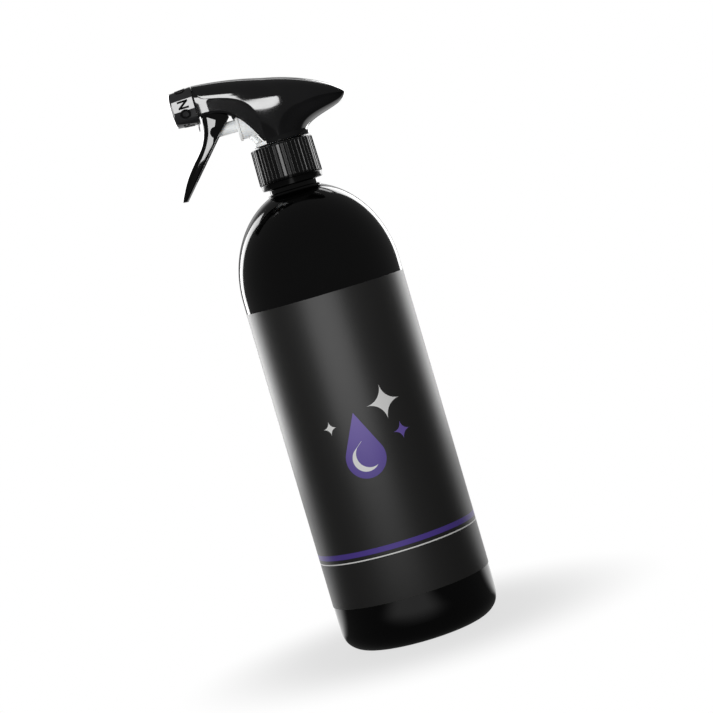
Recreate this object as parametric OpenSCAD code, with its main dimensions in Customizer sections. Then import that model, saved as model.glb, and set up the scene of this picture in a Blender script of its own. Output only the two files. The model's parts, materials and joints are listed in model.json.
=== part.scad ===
// Trigger spray bottle for lens and glass cleaner, in millimetres.
// The bottle stands on its foot at the origin, its axis is Z, and the nozzle points along -X.

/* [Bottle] */
// Outside diameter of the blown body
bottle_d = 79.6; // [66:0.2:96]
// Height from the foot to the rim of the neck
bottle_h = 246; // [200:1:296]
// Wall of the blown body
bottle_wall = 0.9; // [0.6:0.1:1.4]
// Height of the domed shoulder
dome_h = 45.6; // [36:0.1:56]
// Radius of the rounded heel
heel_r = 10.5; // [6:0.5:13]
// Width of the flat ring that the bottle stands on
foot_w = 5; // [3:0.5:7]
// Depth of the hollow under the base
push_up = 5; // [3:0.5:8]

/* [Neck] */
// Outside diameter of the neck under its thread
neck_d = 23.8; // [19.6:0.1:28.8]
// Wall of the neck
neck_wall = 1.6; // [1.2:0.1:2]
// Height of the neck above the shoulder
neck_h = 20.3; // [18:0.1:25]
// How far the bead at the foot of the neck stands out
bead_out = 1.3; // [0.6:0.1:2]
// Height of that bead
bead_h = 1; // [0.6:0.1:2]
// Pitch of the screw thread
thread_pitch = 4.2; // [3.6:0.1:5]
// How far the thread stands out of the neck
thread_depth = 1.3; // [1:0.1:1.6]
// Turns of thread on the neck, and in the collar
thread_turns = 1.5; // [1:0.25:2]

/* [Label] */
// Height of the label's lower edge above the foot
label_foot = 24; // [16:0.5:32]
// Bare wall left between the label and the dome
label_top_gap = 5.7; // [2:0.1:12]
// Thickness of the label film
label_t = 0.15; // [0.1:0.05:0.3]
// Open seam between the label's two ends, in degrees
label_seam = 1; // [0.5:0.25:4]

/* [Collar] */
// Wall of the collar outside its bore, at the top
collar_wall = 1.6; // [1.4:0.1:2.4]
// How much wider the collar's radius is at the foot of its ribs
collar_flare = 0.9; // [0.4:0.1:1.4]
// How far the collar reaches down past the rim
collar_drop = 16.6; // [14:0.1:18]
// Height of the smooth skirt under the ribs
collar_skirt_h = 2.9; // [2:0.1:4]
// Thickness of the collar's top
collar_top_t = 1.3; // [1:0.1:2]
// Ribs around the collar
rib_count = 48; // [24:1:60]
// Depth of the grooves between the ribs
rib_depth = 0.5; // [0.3:0.05:0.7]

/* [Adapter] */
// Thickness of the gasket on the rim
gasket_t = 1.2; // [0.8:0.1:2]
// Thickness of the adapter's flange
flange_t = 1.4; // [1:0.1:2]
// Length of the plug below the flange
plug_depth = 7; // [4:0.5:9]
// Wall of the plug
plug_wall = 1.2; // [0.8:0.1:1.6]
// Diameter of the spigot that the pump sits on
spigot_d = 9.2; // [8:0.2:11]
// Height of the spigot above the flange
spigot_h = 7.3; // [6:0.1:8]
// Play of the loose collar between the flange and the pump's foot
collar_play = 1.25; // [0.6:0.05:2]

/* [Dip tube] */
// Outside diameter of the dip tube
tube_d = 6; // [5:0.2:7.2]
// Bore of the dip tube
tube_bore_d = 4.2; // [3:0.2:4.8]
// Space between the tube's end and the inside of the base
tube_foot_gap = 4; // [2:0.5:10]
// How deep the tube sits in its socket
tube_seat = 11; // [8:0.5:14]

/* [Pump] */
// Height of the discharge barrel's axis above the rim
barrel_rise = 33.4; // [31:0.1:38]
// Height of the pump cylinder's axis above the rim
cyl_rise = 18.3; // [17:0.1:19]
// Outside diameter of the discharge barrel
barrel_d = 8.8; // [7.2:0.1:10.6]
// Bore of the discharge barrel in front of its valve seat
barrel_bore_d = 5; // [4.4:0.1:5.4]
// Distance from the bottle's axis to the front end of the barrel
barrel_reach = 41.5; // [38:0.5:48]
// Bore of the pump cylinder
cyl_bore_d = 12.6; // [10.4:0.1:15.2]
// Wall of the pump cylinder
cyl_wall = 1.1; // [0.8:0.1:1.4]
// Distance from the bottle's axis to the mouth of the cylinder
cyl_mouth = 18.3; // [17:0.1:20]
// Outside diameter of the riser
riser_d = 12.4; // [11.8:0.2:14]
// Thickness of the pump's foot disc
foot_disc_t = 1.6; // [1:0.1:2.4]
// Diameter of the inlet ball
inlet_ball_d = 4.4; // [4:0.1:4.8]
// How far the inlet ball can lift off its seat
inlet_lift = 1; // [0.6:0.1:1.4]
// Bore of the inlet under the ball, and of the passage up the riser
inlet_d = 3.2; // [2.4:0.1:3.4]
// Bore of the port between the cylinder and the riser
port_d = 2.4; // [1.6:0.1:2.6]
// Bore of the air vent
vent_d = 1.4; // [0.8:0.1:1.6]
// Outside diameter of the vent's post
vent_post_d = 3.2; // [2.8:0.1:3.6]
// Distance from the bottle's axis to the seat of the outlet valve
valve_seat_reach = 20; // [19:0.5:22]
// Bore behind that seat
valve_seat_d = 3; // [2.4:0.1:3.2]
// Wall of the barrel behind that seat
rear_barrel_wall = 1; // [0.8:0.05:1.1]
// Diameter of the outlet valve's ball
outlet_d = 4; // [3.6:0.1:4.2]
// Length of the outlet valve's stem
outlet_stem = 1.4; // [1:0.1:1.8]

/* [Piston] */
// Diameter of the hollow push rod
rod_d = 6; // [5:0.1:7]
// Wall of the rod around its spring
rod_wall = 0.8; // [0.6:0.1:0.9]
// Width of each seal on the piston
lip_w = 1.1; // [0.9:0.1:1.3]
// Depth of the grooves that hold the seals
seal_depth = 1.5; // [1:0.1:1.8]
// Diameter of the return spring's wire
spring_wire_d = 0.6; // [0.4:0.05:0.7]
// Turns of the return spring
spring_turns = 14; // [10:1:16]

/* [Trigger] */
// Width of the trigger
trigger_w = 13.8; // [11.6:0.2:16.6]
// Wall of the trigger's two cheeks
trigger_web = 1.5; // [1.2:0.1:2]
// Wall of the trigger's front
trigger_front_t = 2.4; // [1.8:0.1:3]
// Distance from the bottle's axis to the trigger's pivot
pivot_reach = 29.5; // [28:0.1:31]
// Diameter of the two pivot pins
pivot_d = 3.6; // [3:0.1:4.2]
// How far the trigger's tip lies below its pivot
trigger_drop = 43.8; // [36:0.1:52]
// How far the trigger's tip lies in front of its pivot
trigger_throw = 24.4; // [20:0.1:28]
// Angle that the trigger swings through
trigger_swing = 20; // [16:0.5:20]

/* [Nozzle] */
// Diameter of the nozzle at its rear
nozzle_rear_d = 19; // [17:0.1:21]
// Diameter of the nozzle at its front
nozzle_front_d = 17.2; // [15:0.1:19]
// Length of the nozzle
nozzle_len = 12.4; // [11:0.1:14]
// Diameter of the spray orifice
orifice_d = 0.7; // [0.5:0.05:1.2]
// Diameter of the insert that the orifice is in
insert_d = 4.8; // [4:0.1:5.4]
// Diameter of the dish around the orifice
dish_d = 10.4; // [9:0.1:12]
// Depth of that dish
dish_depth = 2.2; // [1.6:0.1:2.6]
// Wall of the nozzle's outer skin
nozzle_skin = 1.5; // [1.2:0.1:1.7]
// Section of the seal ring on the barrel
seal_ring_d = 1.3; // [1:0.1:1.5]
// How far the snap bead stands out of the barrel
snap_out = 0.4; // [0.3:0.05:0.5]
// Width of the snap bead
snap_w = 0.8; // [0.6:0.1:1]

/* [Shroud] */
// Wall of the shroud
shroud_wall = 1.2; // [1:0.1:1.3]
// Greatest width of the shroud
shroud_w = 27.2; // [26:0.2:32]
// Distance from the bottle's axis to the tip of the tail
tail_reach = 37; // [30:0.5:44]
// How far the tail's tip lies below the barrel's axis
tail_fall = 13.8; // [12:0.1:15]
// Side gap between the shroud and the trigger
cheek_gap = 1.3; // [0.8:0.1:2]
// Thickness of the ring at the foot of the shroud
ring_t = 1.85; // [1.4:0.05:2.4]
// Height of that ring
ring_h = 3; // [2.4:0.1:4]

/* [Fits] */
// Clearance of a piece that is pressed or snapped home
fit_clear = 0.05; // [0.02:0.01:0.1]
// Radial clearance of a turning or sliding fit
run_clear = 0.05; // [0.02:0.01:0.1]
// Open gap between separate mouldings
gap = 0.3; // [0.2:0.05:0.6]

/* [Hidden] */
$fn = 64;
cut = 1; // overrun of a cutter past the face that it opens

black = [0.03, 0.03, 0.03];
natural = [0.86, 0.87, 0.86, 0.6];
steel = [0.72, 0.72, 0.74];

// Bottle
body_r = bottle_d / 2;
neck_r = neck_d / 2;
bore_r = neck_r - neck_wall;
bead_r = neck_r + bead_out;
shoulder_z = bottle_h - neck_h;
dome_z = shoulder_z - dome_h;
thread_r = neck_r + thread_depth;
thread_below_rim = 2.6;
thread_z = bottle_h - thread_below_rim - thread_turns * thread_pitch;
thread_gap = 0.4; // between a thread's crest and the other wall
thread_bury = 0.4; // depth of a thread's root in its own wall

// Stack of closure pieces on the rim
gasket_z = bottle_h;
flange_z = gasket_z + gasket_t;
hub_z = flange_z + flange_t;
foot_disc_z = hub_z + collar_top_t + collar_play;
flange_over = 0.5; // how far the flange reaches past the neck
flange_r = neck_r + flange_over;
plug_r = bore_r - 3 * fit_clear;
hub_in = 2.1; // how far the pump's hub lies inside the neck's outside
hub_r = neck_r - hub_in;
foot_disc_out = 3.1; // how far the foot disc covers the collar's top
foot_disc_r = hub_r + foot_disc_out;
collar_bore_r = thread_r + thread_gap;
collar_low_z = bottle_h - collar_drop;
collar_rib_z = collar_low_z + collar_skirt_h;
collar_top_z = hub_z + fit_clear * 3 + collar_top_t;

// Inlet valve
tube_r = tube_d / 2;
socket_wall = 1.4;
socket_r = tube_r + socket_wall;
socket_cover = 1;
tube_top_z = hub_z - socket_cover;
tube_low_z = push_up + bottle_wall + tube_foot_gap;
spigot_top_z = hub_z + spigot_h;
inlet_r = inlet_d / 2;
ball_r = inlet_ball_d / 2;
seat_touch = 0.02; // space left between a valve and its seat
ball_z = spigot_top_z + sqrt(ball_r ^ 2 - inlet_r ^ 2) + seat_touch;
ball_side = 0.5;
chamber_r = ball_r + ball_side;
ball_over = 0.15;
chamber_top_z = ball_z + ball_r + inlet_lift + ball_over;

// Pump
barrel_z = bottle_h + barrel_rise;
barrel_r = barrel_d / 2;
cyl_z = bottle_h + cyl_rise;
cyl_r = cyl_bore_d / 2;
cyl_out_r = cyl_r + cyl_wall;
cyl_end_wall = 1.5;
cyl_back = -(chamber_r + cyl_end_wall);
mouth_rim = [1.3, 0.5]; // width and height of the rim at the cylinder's mouth
vent_behind_mouth = 5.4;
vent_cover = 0.3; // how far the vent starts under the cylinder's bore
vent_top = [-cyl_mouth + vent_behind_mouth, cyl_z - cyl_r - vent_cover];
vent_in_hub = 4.3; // how far inside the hub's edge the vent comes down
vent_low = [-hub_r + vent_in_hub, flange_z - cut];
valve_seat_x = -valve_seat_reach;
valve_seat_r = valve_seat_d / 2;
rear_barrel_r = valve_seat_r + rear_barrel_wall;
seat_wall = 2; // length of the stout barrel behind the valve seat
crossing = 0.5; // how far the riser's top passes the barrel's axis
pin_out = 0.5; // how far each pivot pin stands out of the trigger
spigot_gap = 0.1;
outlet_r = outlet_d / 2;
outlet_x = valve_seat_x - sqrt(outlet_r ^ 2 - valve_seat_r ^ 2) - seat_touch;

// Piston and trigger
pivot_x = -pivot_reach;
rod_gap = 0.1; // between the trigger's pad and the piston's nose
stroke = (barrel_rise - cyl_rise) * tan(trigger_swing) + rod_gap;
pad_ahead = 1; // how far the pad lies in front of the pivot
pad_x = pivot_x - pad_ahead;
rod_r = rod_d / 2;
nose_x = pad_x + rod_gap + rod_r;
head_inset = 1.9; // how far the piston's head lies inside the mouth
head_front_x = -cyl_mouth + head_inset;
head_back_x = cyl_back - stroke - gap;
spring_bore_r = rod_r - rod_wall;
nose_wall = 2.4; // from the nose's centre to the end of the spring's bore
spring_front_x = nose_x + nose_wall;
spring_end_gap = 0.1; // at each end of a spring
spring_side_gap = 0.15;
lip_land = 0.5; // head left beyond each seal
vent_lip_x = head_front_x + lip_land;
press_lip_x = head_back_x - lip_w - lip_land;
lip_rise = 0.45; // how far a lip opens towards the bore
head_side = 0.6;
head_r = cyl_r - head_side;
seal_seat_r = head_r - seal_depth;

// Nozzle
nozzle_overlap = 6.7;
nozzle_rear_x = -barrel_reach + nozzle_overlap;
nozzle_front_x = nozzle_rear_x - nozzle_len;
swirl_space = 1.2; // between the barrel's end and the nozzle's plate
socket_end_x = -barrel_reach - swirl_space;
sleeve_wall = 1.5;
sleeve_r = barrel_r + run_clear + sleeve_wall;
snap_inset = 1.4;
snap_x = -barrel_reach + snap_inset;
snap_side_gap = 0.2;
ring_section = seal_ring_d / 2;
ring_inset = 3.8;
ring_groove_x = -barrel_reach + ring_inset;
plate_x = nozzle_front_x + dish_depth;
spinner_len = 8.5;
spinner_rear_x = -barrel_reach + spinner_len;

// Shroud
cheek_w = trigger_w / 2 + cheek_gap + shroud_wall;
half_w = shroud_w / 2;
shroud_front_x = nozzle_rear_x + gap;
front_drop = 6.6; // from the barrel's axis to the lower corner of the front
shroud_low_z = barrel_z - front_drop;
tail_z = barrel_z - tail_fall;
ring_r = foot_disc_r + fit_clear + ring_t;
waist_in = 1.6;
waist_r = ring_r - waist_in;
waist_rise = 0.4;
waist_z = foot_disc_z + ring_h + waist_rise;

// Point at t on the cubic curve with control points p
function curve(p, t) =
    (1 - t) ^ 3 * p[0] + 3 * (1 - t) ^ 2 * t * p[1] + 3 * (1 - t) * t ^ 2 * p[2] + t ^ 3 * p[3];

// Points of a cubic curve in n steps
function curve_points(p, n) = [for (i = [0:n]) curve(p, i / n)];

// Arc about a centre, from angle a to angle b, with its two radii
function arc(c, rx, ry, a, b, n) =
    [for (i = [0:n]) let (t = a + (b - a) * i / n) c + [rx * cos(t), ry * sin(t)]];

// Bottle section from the middle of the base to the neck, set in from the outside by a wall
function bottle_side(wall, neck) =
    let (
        r = body_r - wall,
        heel = heel_r - wall,
        foot_out = body_r - heel_r,
        foot_in = foot_out - foot_w,
        dome_rise = dome_h / sqrt(1 - (neck / r) ^ 2)
    )
    concat(
        [for (i = [0:8]) [foot_in * i / 8, wall + push_up * (1 - (i / 8) ^ 2)]],
        arc([foot_out, heel_r], heel, heel, -90, 0, 8),
        arc([0, dome_z], r, dome_rise, 0, acos(neck / r), 28)
    );

function reversed(list) = [for (i = [len(list) - 1:-1:0]) list[i]];

// Screw ridge along a right-hand helix, with its root buried in the wall that carries it
module screw_ridge(root_r, crest_r, start_z) {
    per_turn = 24;
    steps = round(thread_turns * per_turn);
    root_w = thread_pitch * 0.5;
    crest_w = thread_pitch * 0.24;
    fade = 4; // steps over which each end runs out
    stub = 0.4; // height left at the very ends, in steps of that run-out
    points = [
        for (i = [0:steps])
            let (
                a = 360 * i / per_turn,
                z = start_z + thread_pitch * i / per_turn,
                rise = min(1, (i + stub) / fade, (steps - i + stub) / fade),
                r = root_r + (crest_r - root_r) * rise
            )
            each [
                [root_r * cos(a), root_r * sin(a), z - root_w / 2],
                [r * cos(a), r * sin(a), z - crest_w / 2],
                [r * cos(a), r * sin(a), z + crest_w / 2],
                [root_r * cos(a), root_r * sin(a), z + root_w / 2]
            ]
    ];
    swept(points, 4, steps, crest_r < root_r);
}

// Closed solid through rings of `sides` points; `flip` turns its faces over
module swept(points, sides, steps, flip = false) {
    faces = concat(
        [
            for (i = [0:steps - 1], j = [0:sides - 1])
                let (a = i * sides + j, b = i * sides + (j + 1) % sides)
                each [[a, b, b + sides], [a, b + sides, a + sides]]
        ],
        [for (j = [1:sides - 2]) [0, j + 1, j]],
        [for (j = [1:sides - 2]) let (e = steps * sides) [e, e + j, e + j + 1]]
    );
    polyhedron(points, flip ? [for (f = faces) [f[0], f[2], f[1]]] : faces, convexity = 6);
}

// Coil spring along +X from x0 about an axis at height z; it prints the least gap between its turns
module coil(x0, length, mean_r, wire_d, turns, z) {
    per_turn = 8;
    sides = 6;
    steps = turns * per_turn;
    span = length - wire_d;
    lean = atan2(span / turns, 2 * PI * mean_r);
    middle = [
        for (i = [0:steps])
            let (a = 360 * i / per_turn)
            [x0 + wire_d / 2 + span * i / steps, mean_r * cos(a), z + mean_r * sin(a)]
    ];
    points = [
        for (i = [0:steps], j = [0:sides - 1])
            let (
                a = 360 * i / per_turn,
                out = wire_d / 2 * cos(360 * j / sides),
                side = wire_d / 2 * sin(360 * j / sides)
            )
            middle[i] + [
                side * cos(lean),
                out * cos(a) + side * sin(lean) * sin(a),
                out * sin(a) - side * sin(lean) * cos(a)
            ]
    ];
    reach = per_turn / 2;
    echo(least_gap = min([
        for (i = [0:steps - reach], k = [reach:steps - i]) norm(middle[i + k] - middle[i]) - wire_d
    ]));
    swept(points, sides, steps);
}

// Solid turned about an axis along X at height z; outline points are [x, r]
module turned_x(outline, z) {
    translate([0, 0, z]) rotate([0, 90, 0]) rotate_extrude()
        polygon([for (p = outline) [p[1], p[0]]]);
}

// Round bar along X between two places, at height z
module bar_x(x0, x1, r, z) {
    translate([x0, 0, z]) rotate([0, 90, 0]) cylinder(h = x1 - x0, r = r);
}

module bottle() {
    bead_fade = 0.6;
    rim_edge = 0.4;
    color(black) union() {
        rotate_extrude(convexity = 6) polygon(concat(
            bottle_side(0, bead_r),
            [
                [bead_r, shoulder_z + bead_h],
                [neck_r, shoulder_z + bead_h + bead_fade],
                [neck_r, bottle_h - rim_edge],
                [neck_r - rim_edge, bottle_h],
                [bore_r, bottle_h]
            ],
            reversed(bottle_side(bottle_wall, bore_r))
        ));
        screw_ridge(neck_r - thread_bury, thread_r, thread_z);
    }
}

module label() {
    color([0.15, 0.15, 0.145]) rotate([0, 0, 90 + label_seam / 2])
        rotate_extrude(angle = 360 - label_seam)
            translate([body_r + fit_clear, label_foot])
                square([label_t, dome_z - label_top_gap - label_foot]);
}

module screw_collar() {
    top_r = collar_bore_r + collar_wall;
    low_r = top_r + collar_flare;
    skirt_r = top_r - gap;
    edge = 0.4;
    rib_h = collar_top_z - collar_rib_z;
    lean = atan2(low_r - top_r, rib_h);
    groove = rib_depth * sqrt(2);
    color(black) union() {
        difference() {
            rotate_extrude() polygon([
                [collar_bore_r, collar_low_z],
                [skirt_r - edge, collar_low_z],
                [skirt_r, collar_low_z + edge],
                [skirt_r, collar_rib_z],
                [low_r, collar_rib_z],
                [top_r, collar_top_z - edge],
                [top_r - edge, collar_top_z],
                [hub_r + gap, collar_top_z],
                [hub_r + gap, collar_top_z - collar_top_t],
                [collar_bore_r, collar_top_z - collar_top_t]
            ]);
            for (i = [0:rib_count - 1]) rotate([0, 0, 360 * i / rib_count])
                translate([low_r, 0, collar_rib_z]) rotate([0, -lean, 0]) rotate([0, 0, 45])
                    cube([groove, groove, 3 * rib_h], center = true);
        }
        screw_ridge(collar_bore_r + thread_bury, neck_r + thread_gap, thread_z - thread_pitch / 2);
    }
}

module neck_gasket() {
    color([0.9, 0.9, 0.88]) translate([0, 0, gasket_z]) difference() {
        cylinder(h = gasket_t, r = flange_r);
        translate([0, 0, -cut]) cylinder(h = gasket_t + 2 * cut, r = plug_r + fit_clear);
    }
}

// Slanted air passage from the pump cylinder down to the space inside the plug
module vent_way(d) {
    run = vent_top - vent_low;
    translate([vent_low[0], 0, vent_low[1]]) rotate([0, atan2(run[0], run[1]), 0])
        cylinder(h = norm(run), d = d);
}

module neck_adapter() {
    color(natural) difference() {
        union() {
            translate([0, 0, flange_z]) cylinder(h = flange_t, r = flange_r);
            translate([0, 0, flange_z - plug_depth]) cylinder(h = plug_depth + cut, r = plug_r);
            translate([0, 0, tube_top_z - tube_seat]) cylinder(h = tube_seat, r = socket_r);
            translate([0, 0, hub_z - cut]) cylinder(h = spigot_h + cut, r = spigot_d / 2);
        }
        translate([0, 0, flange_z - plug_depth - cut]) difference() {
            cylinder(h = plug_depth + cut, r = plug_r - plug_wall);
            cylinder(h = plug_depth + cut, r = socket_r);
        }
        translate([0, 0, tube_top_z - tube_seat - cut])
            cylinder(h = tube_seat + cut, r = tube_r + fit_clear / 2);
        translate([0, 0, tube_top_z - cut]) cylinder(h = spigot_top_z - tube_top_z + 2 * cut, r = inlet_r);
        vent_way(vent_d);
    }
}

module dip_tube() {
    bevel = tube_d;
    color(natural) difference() {
        translate([0, 0, tube_low_z]) cylinder(h = tube_top_z - fit_clear - tube_low_z, r = tube_r);
        translate([0, 0, tube_low_z - cut])
            cylinder(h = tube_top_z - tube_low_z + 2 * cut, r = tube_bore_d / 2);
        translate([-tube_r, 0, tube_low_z]) rotate([0, 30, 0])
            translate([-bevel, -bevel, -bevel]) cube([4 * bevel, 2 * bevel, bevel]);
    }
}

module inlet_ball() {
    color(steel) translate([0, 0, ball_z]) sphere(r = ball_r);
}

module pump_body() {
    groove_x0 = ring_groove_x - ring_section - 2 * fit_clear;
    groove_x1 = ring_groove_x + ring_section + 2 * fit_clear;
    groove_r = barrel_r - 2 * ring_section - fit_clear;
    color(natural) difference() {
        union() {
            translate([0, 0, hub_z]) cylinder(h = foot_disc_z - hub_z + cut, r = hub_r);
            translate([0, 0, foot_disc_z]) cylinder(h = foot_disc_t, r = foot_disc_r);
            translate([0, 0, foot_disc_z]) cylinder(h = barrel_z + crossing - foot_disc_z, d = riser_d);
            bar_x(-cyl_mouth, 0, cyl_out_r, cyl_z);
            bar_x(-cyl_mouth, -cyl_mouth + mouth_rim[0], cyl_out_r + mouth_rim[1], cyl_z);
            bar_x(-barrel_reach, valve_seat_x + seat_wall, barrel_r, barrel_z);
            bar_x(valve_seat_x, rear_barrel_wall, rear_barrel_r, barrel_z);
            bar_x(snap_x - snap_w / 2, snap_x + snap_w / 2, barrel_r + snap_out, barrel_z);
            translate([pivot_x, 0, barrel_z]) rotate([90, 0, 0])
                cylinder(h = trigger_w + 2 * pin_out, r = pivot_d / 2, center = true);
            intersection() {
                vent_way(vent_post_d);
                translate([0, 0, foot_disc_z]) cylinder(h = cyl_z - foot_disc_z, r = cyl_mouth);
            }
        }
        translate([0, 0, hub_z - cut])
            cylinder(h = spigot_h + cut + spigot_gap, r = spigot_d / 2 + fit_clear);
        translate([0, 0, spigot_top_z]) cylinder(h = chamber_top_z - spigot_top_z, r = chamber_r);
        translate([0, 0, spigot_top_z]) cylinder(h = barrel_z - crossing - spigot_top_z, r = inlet_r);
        bar_x(-cyl_mouth - cut, cyl_back, cyl_r, cyl_z);
        bar_x(cyl_back - cut, 0, port_d / 2, cyl_z);
        bar_x(-barrel_reach - cut, valve_seat_x, barrel_bore_d / 2, barrel_z);
        bar_x(valve_seat_x - cut, 0, valve_seat_r, barrel_z);
        turned_x([
            [groove_x0, groove_r],
            [groove_x1, groove_r],
            [groove_x1, barrel_r + cut],
            [groove_x0, barrel_r + cut]
        ], barrel_z);
        vent_way(vent_d);
    }
}

module piston() {
    groove = fit_clear / 2;
    color(natural) difference() {
        union() {
            translate([nose_x, 0, cyl_z]) sphere(r = rod_r);
            bar_x(nose_x, head_front_x + cut, rod_r, cyl_z);
            turned_x([
                [head_front_x, 0],
                [head_front_x, head_r],
                [vent_lip_x - groove, head_r],
                [vent_lip_x - groove, seal_seat_r],
                [vent_lip_x + lip_w + groove, seal_seat_r],
                [vent_lip_x + lip_w + groove, head_r],
                [press_lip_x - groove, head_r],
                [press_lip_x - groove, seal_seat_r],
                [press_lip_x + lip_w + groove, seal_seat_r],
                [press_lip_x + lip_w + groove, head_r],
                [head_back_x, head_r],
                [head_back_x, 0]
            ], cyl_z);
        }
        bar_x(spring_front_x, head_back_x + cut, spring_bore_r, cyl_z);
    }
}

// Soft ring in a groove of the piston, with a lip on the side that `toward` points to
module lip_ring(x, toward) {
    near = toward > 0 ? x : x + lip_w;
    far = toward > 0 ? x + lip_w : x;
    color([0.82, 0.83, 0.82]) turned_x([
        [near, seal_seat_r + fit_clear],
        [near, cyl_r - run_clear - lip_rise],
        [far, cyl_r - run_clear],
        [far, seal_seat_r + fit_clear]
    ], cyl_z);
}

module pressure_seal() {
    lip_ring(press_lip_x, 1);
}

module vent_seal() {
    lip_ring(vent_lip_x, -1);
}

module return_spring() {
    mean_r = spring_bore_r - spring_side_gap - spring_wire_d / 2;
    length = cyl_back - spring_front_x - 2 * spring_end_gap;
    color(steel) coil(spring_front_x + spring_end_gap, length, mean_r, spring_wire_d, spring_turns, cyl_z);
}

// Side view of the trigger: its pivot, the top and the tip of its front curve, and the heel behind
pivot = [pivot_x, barrel_z];
trigger_top = pivot + [-4, -7.3];
trigger_tip = pivot - [trigger_throw, trigger_drop];
trigger_heel = pivot + [8.8, -9.6];
ear_wall = 2;
ear_r = pivot_d / 2 + ear_wall;

// Front curve of the trigger, set back by an amount
function trigger_front(back) =
    let (top_pull = [-1.8, -19], tip_pull = [8.8, 21])
    [
        for (p = curve_points([trigger_top, trigger_top + top_pull, trigger_tip + tip_pull, trigger_tip], 20))
            p + [back, 0]
    ];

module trigger() {
    inner = trigger_w / 2 - trigger_web;
    hollow_low_z = trigger_tip[1] + 6;
    web_low_z = trigger_tip[1] + 9;
    pad_low_z = cyl_z - rod_r - 2 * gap;
    pad_top_z = barrel_z - 8.5;
    open_z = barrel_z + ear_r + cut;
    open_x0 = pivot_x - ear_r - 3 * cut;
    open_x1 = trigger_heel[0] + cut;
    open_low_z = barrel_z - 6.2;
    color(black) difference() {
        translate([0, trigger_w / 2, 0]) rotate([90, 0, 0]) linear_extrude(trigger_w) polygon(concat(
            trigger_front(0),
            [trigger_tip + [0.6, -0.9], trigger_tip + [2.2, -0.2], trigger_heel],
            arc(pivot, ear_r, ear_r, 0, 180, 16)
        ));
        // Hollow between the two cheeks, closed at the front and open at the back
        translate([0, inner, 0]) rotate([90, 0, 0]) linear_extrude(2 * inner) polygon(concat(
            [for (p = trigger_front(trigger_front_t)) if (p[1] < pad_low_z && p[1] > web_low_z) p],
            [
                [trigger_tip[0] + 5 * trigger_front_t, hollow_low_z],
                [open_x1, hollow_low_z],
                [open_x1, open_z],
                [open_x0, open_z],
                [open_x0, open_low_z],
                [pad_x, pad_top_z],
                [pad_x, pad_low_z]
            ]
        ));
        translate([pivot_x, 0, barrel_z]) rotate([90, 0, 0])
            cylinder(h = trigger_w + 2 * cut, r = pivot_d / 2 + run_clear, center = true);
    }
}

module outlet_valve() {
    stem_r = 0.7;
    color([0.3, 0.3, 0.32]) {
        translate([outlet_x, 0, barrel_z]) sphere(r = outlet_r);
        bar_x(outlet_x - outlet_r - outlet_stem, outlet_x, stem_r, barrel_z);
    }
}

module outlet_spring() {
    front = spinner_rear_x + spring_end_gap;
    back = outlet_x - outlet_r - spring_end_gap;
    mean_r = outlet_r - 0.6;
    wire = 0.35;
    turns = 7;
    color(steel) coil(front, back - front, mean_r, wire, turns, barrel_z);
}

module spinner() {
    r = barrel_bore_d / 2 - fit_clear / 2;
    nose_r = 1.6;
    flutes = 3;
    flute_w = 1;
    flute_depth = 0.7;
    flute_len = spinner_len + 2 * cut;
    color(natural) difference() {
        union() {
            bar_x(-barrel_reach, spinner_rear_x, r, barrel_z);
            bar_x(socket_end_x + gap / 2, -barrel_reach + cut, nose_r, barrel_z);
        }
        for (i = [0:flutes - 1]) translate([0, 0, barrel_z]) rotate([360 * i / flutes, 0, 0])
            translate([-barrel_reach - cut, -flute_w / 2, r - flute_depth])
                cube([flute_len, flute_w, flute_depth + cut]);
    }
}

module nozzle_seal() {
    color(black) translate([ring_groove_x, 0, barrel_z]) rotate([0, 90, 0]) rotate_extrude()
        translate([barrel_r - ring_section, 0]) circle(r = ring_section - seat_touch / 2);
}

module nozzle_cap() {
    rear_r = nozzle_rear_d / 2;
    front_r = nozzle_front_d / 2;
    dish_r = dish_d / 2;
    edge = 1.2;
    rear_edge = 0.3;
    dish_slope = 1;
    hub_inset = 1.2;
    plate_t = 1.4;
    socket = barrel_r + run_clear;
    snap_x0 = snap_x - snap_w / 2 - snap_side_gap;
    snap_x1 = snap_x + snap_w / 2 + snap_side_gap;
    color(black) difference() {
        turned_x([
            [nozzle_rear_x, rear_r - nozzle_skin],
            [nozzle_rear_x, rear_r - rear_edge],
            [nozzle_rear_x - rear_edge, rear_r],
            [nozzle_front_x + edge, front_r],
            [nozzle_front_x, front_r - edge],
            [nozzle_front_x, dish_r + dish_slope],
            [plate_x, dish_r - dish_slope],
            [plate_x, 0],
            [socket_end_x, 0],
            [socket_end_x, socket],
            [snap_x0, socket],
            [snap_x0, socket + snap_out],
            [snap_x1, socket + snap_out],
            [snap_x1, socket],
            [nozzle_rear_x - hub_inset, socket],
            [nozzle_rear_x - hub_inset, sleeve_r],
            [plate_x + plate_t, sleeve_r],
            [plate_x + plate_t, front_r - nozzle_skin]
        ], barrel_z);
        bar_x(plate_x - cut, socket_end_x + cut, insert_d / 2 + fit_clear, barrel_z);
    }
}

module orifice_insert() {
    face_inset = 0.1;
    land = 0.8;
    swirl_r = 1.2;
    color([0.05, 0.05, 0.05]) difference() {
        bar_x(plate_x + face_inset, socket_end_x - fit_clear, insert_d / 2, barrel_z);
        bar_x(plate_x - cut, socket_end_x + cut, orifice_d / 2, barrel_z);
        bar_x(plate_x + face_inset + land, socket_end_x + cut, swirl_r, barrel_z);
    }
}

// Rows of points of the shroud: each is an open loop round the back, from one front edge to the other
row_steps = 28;

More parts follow.
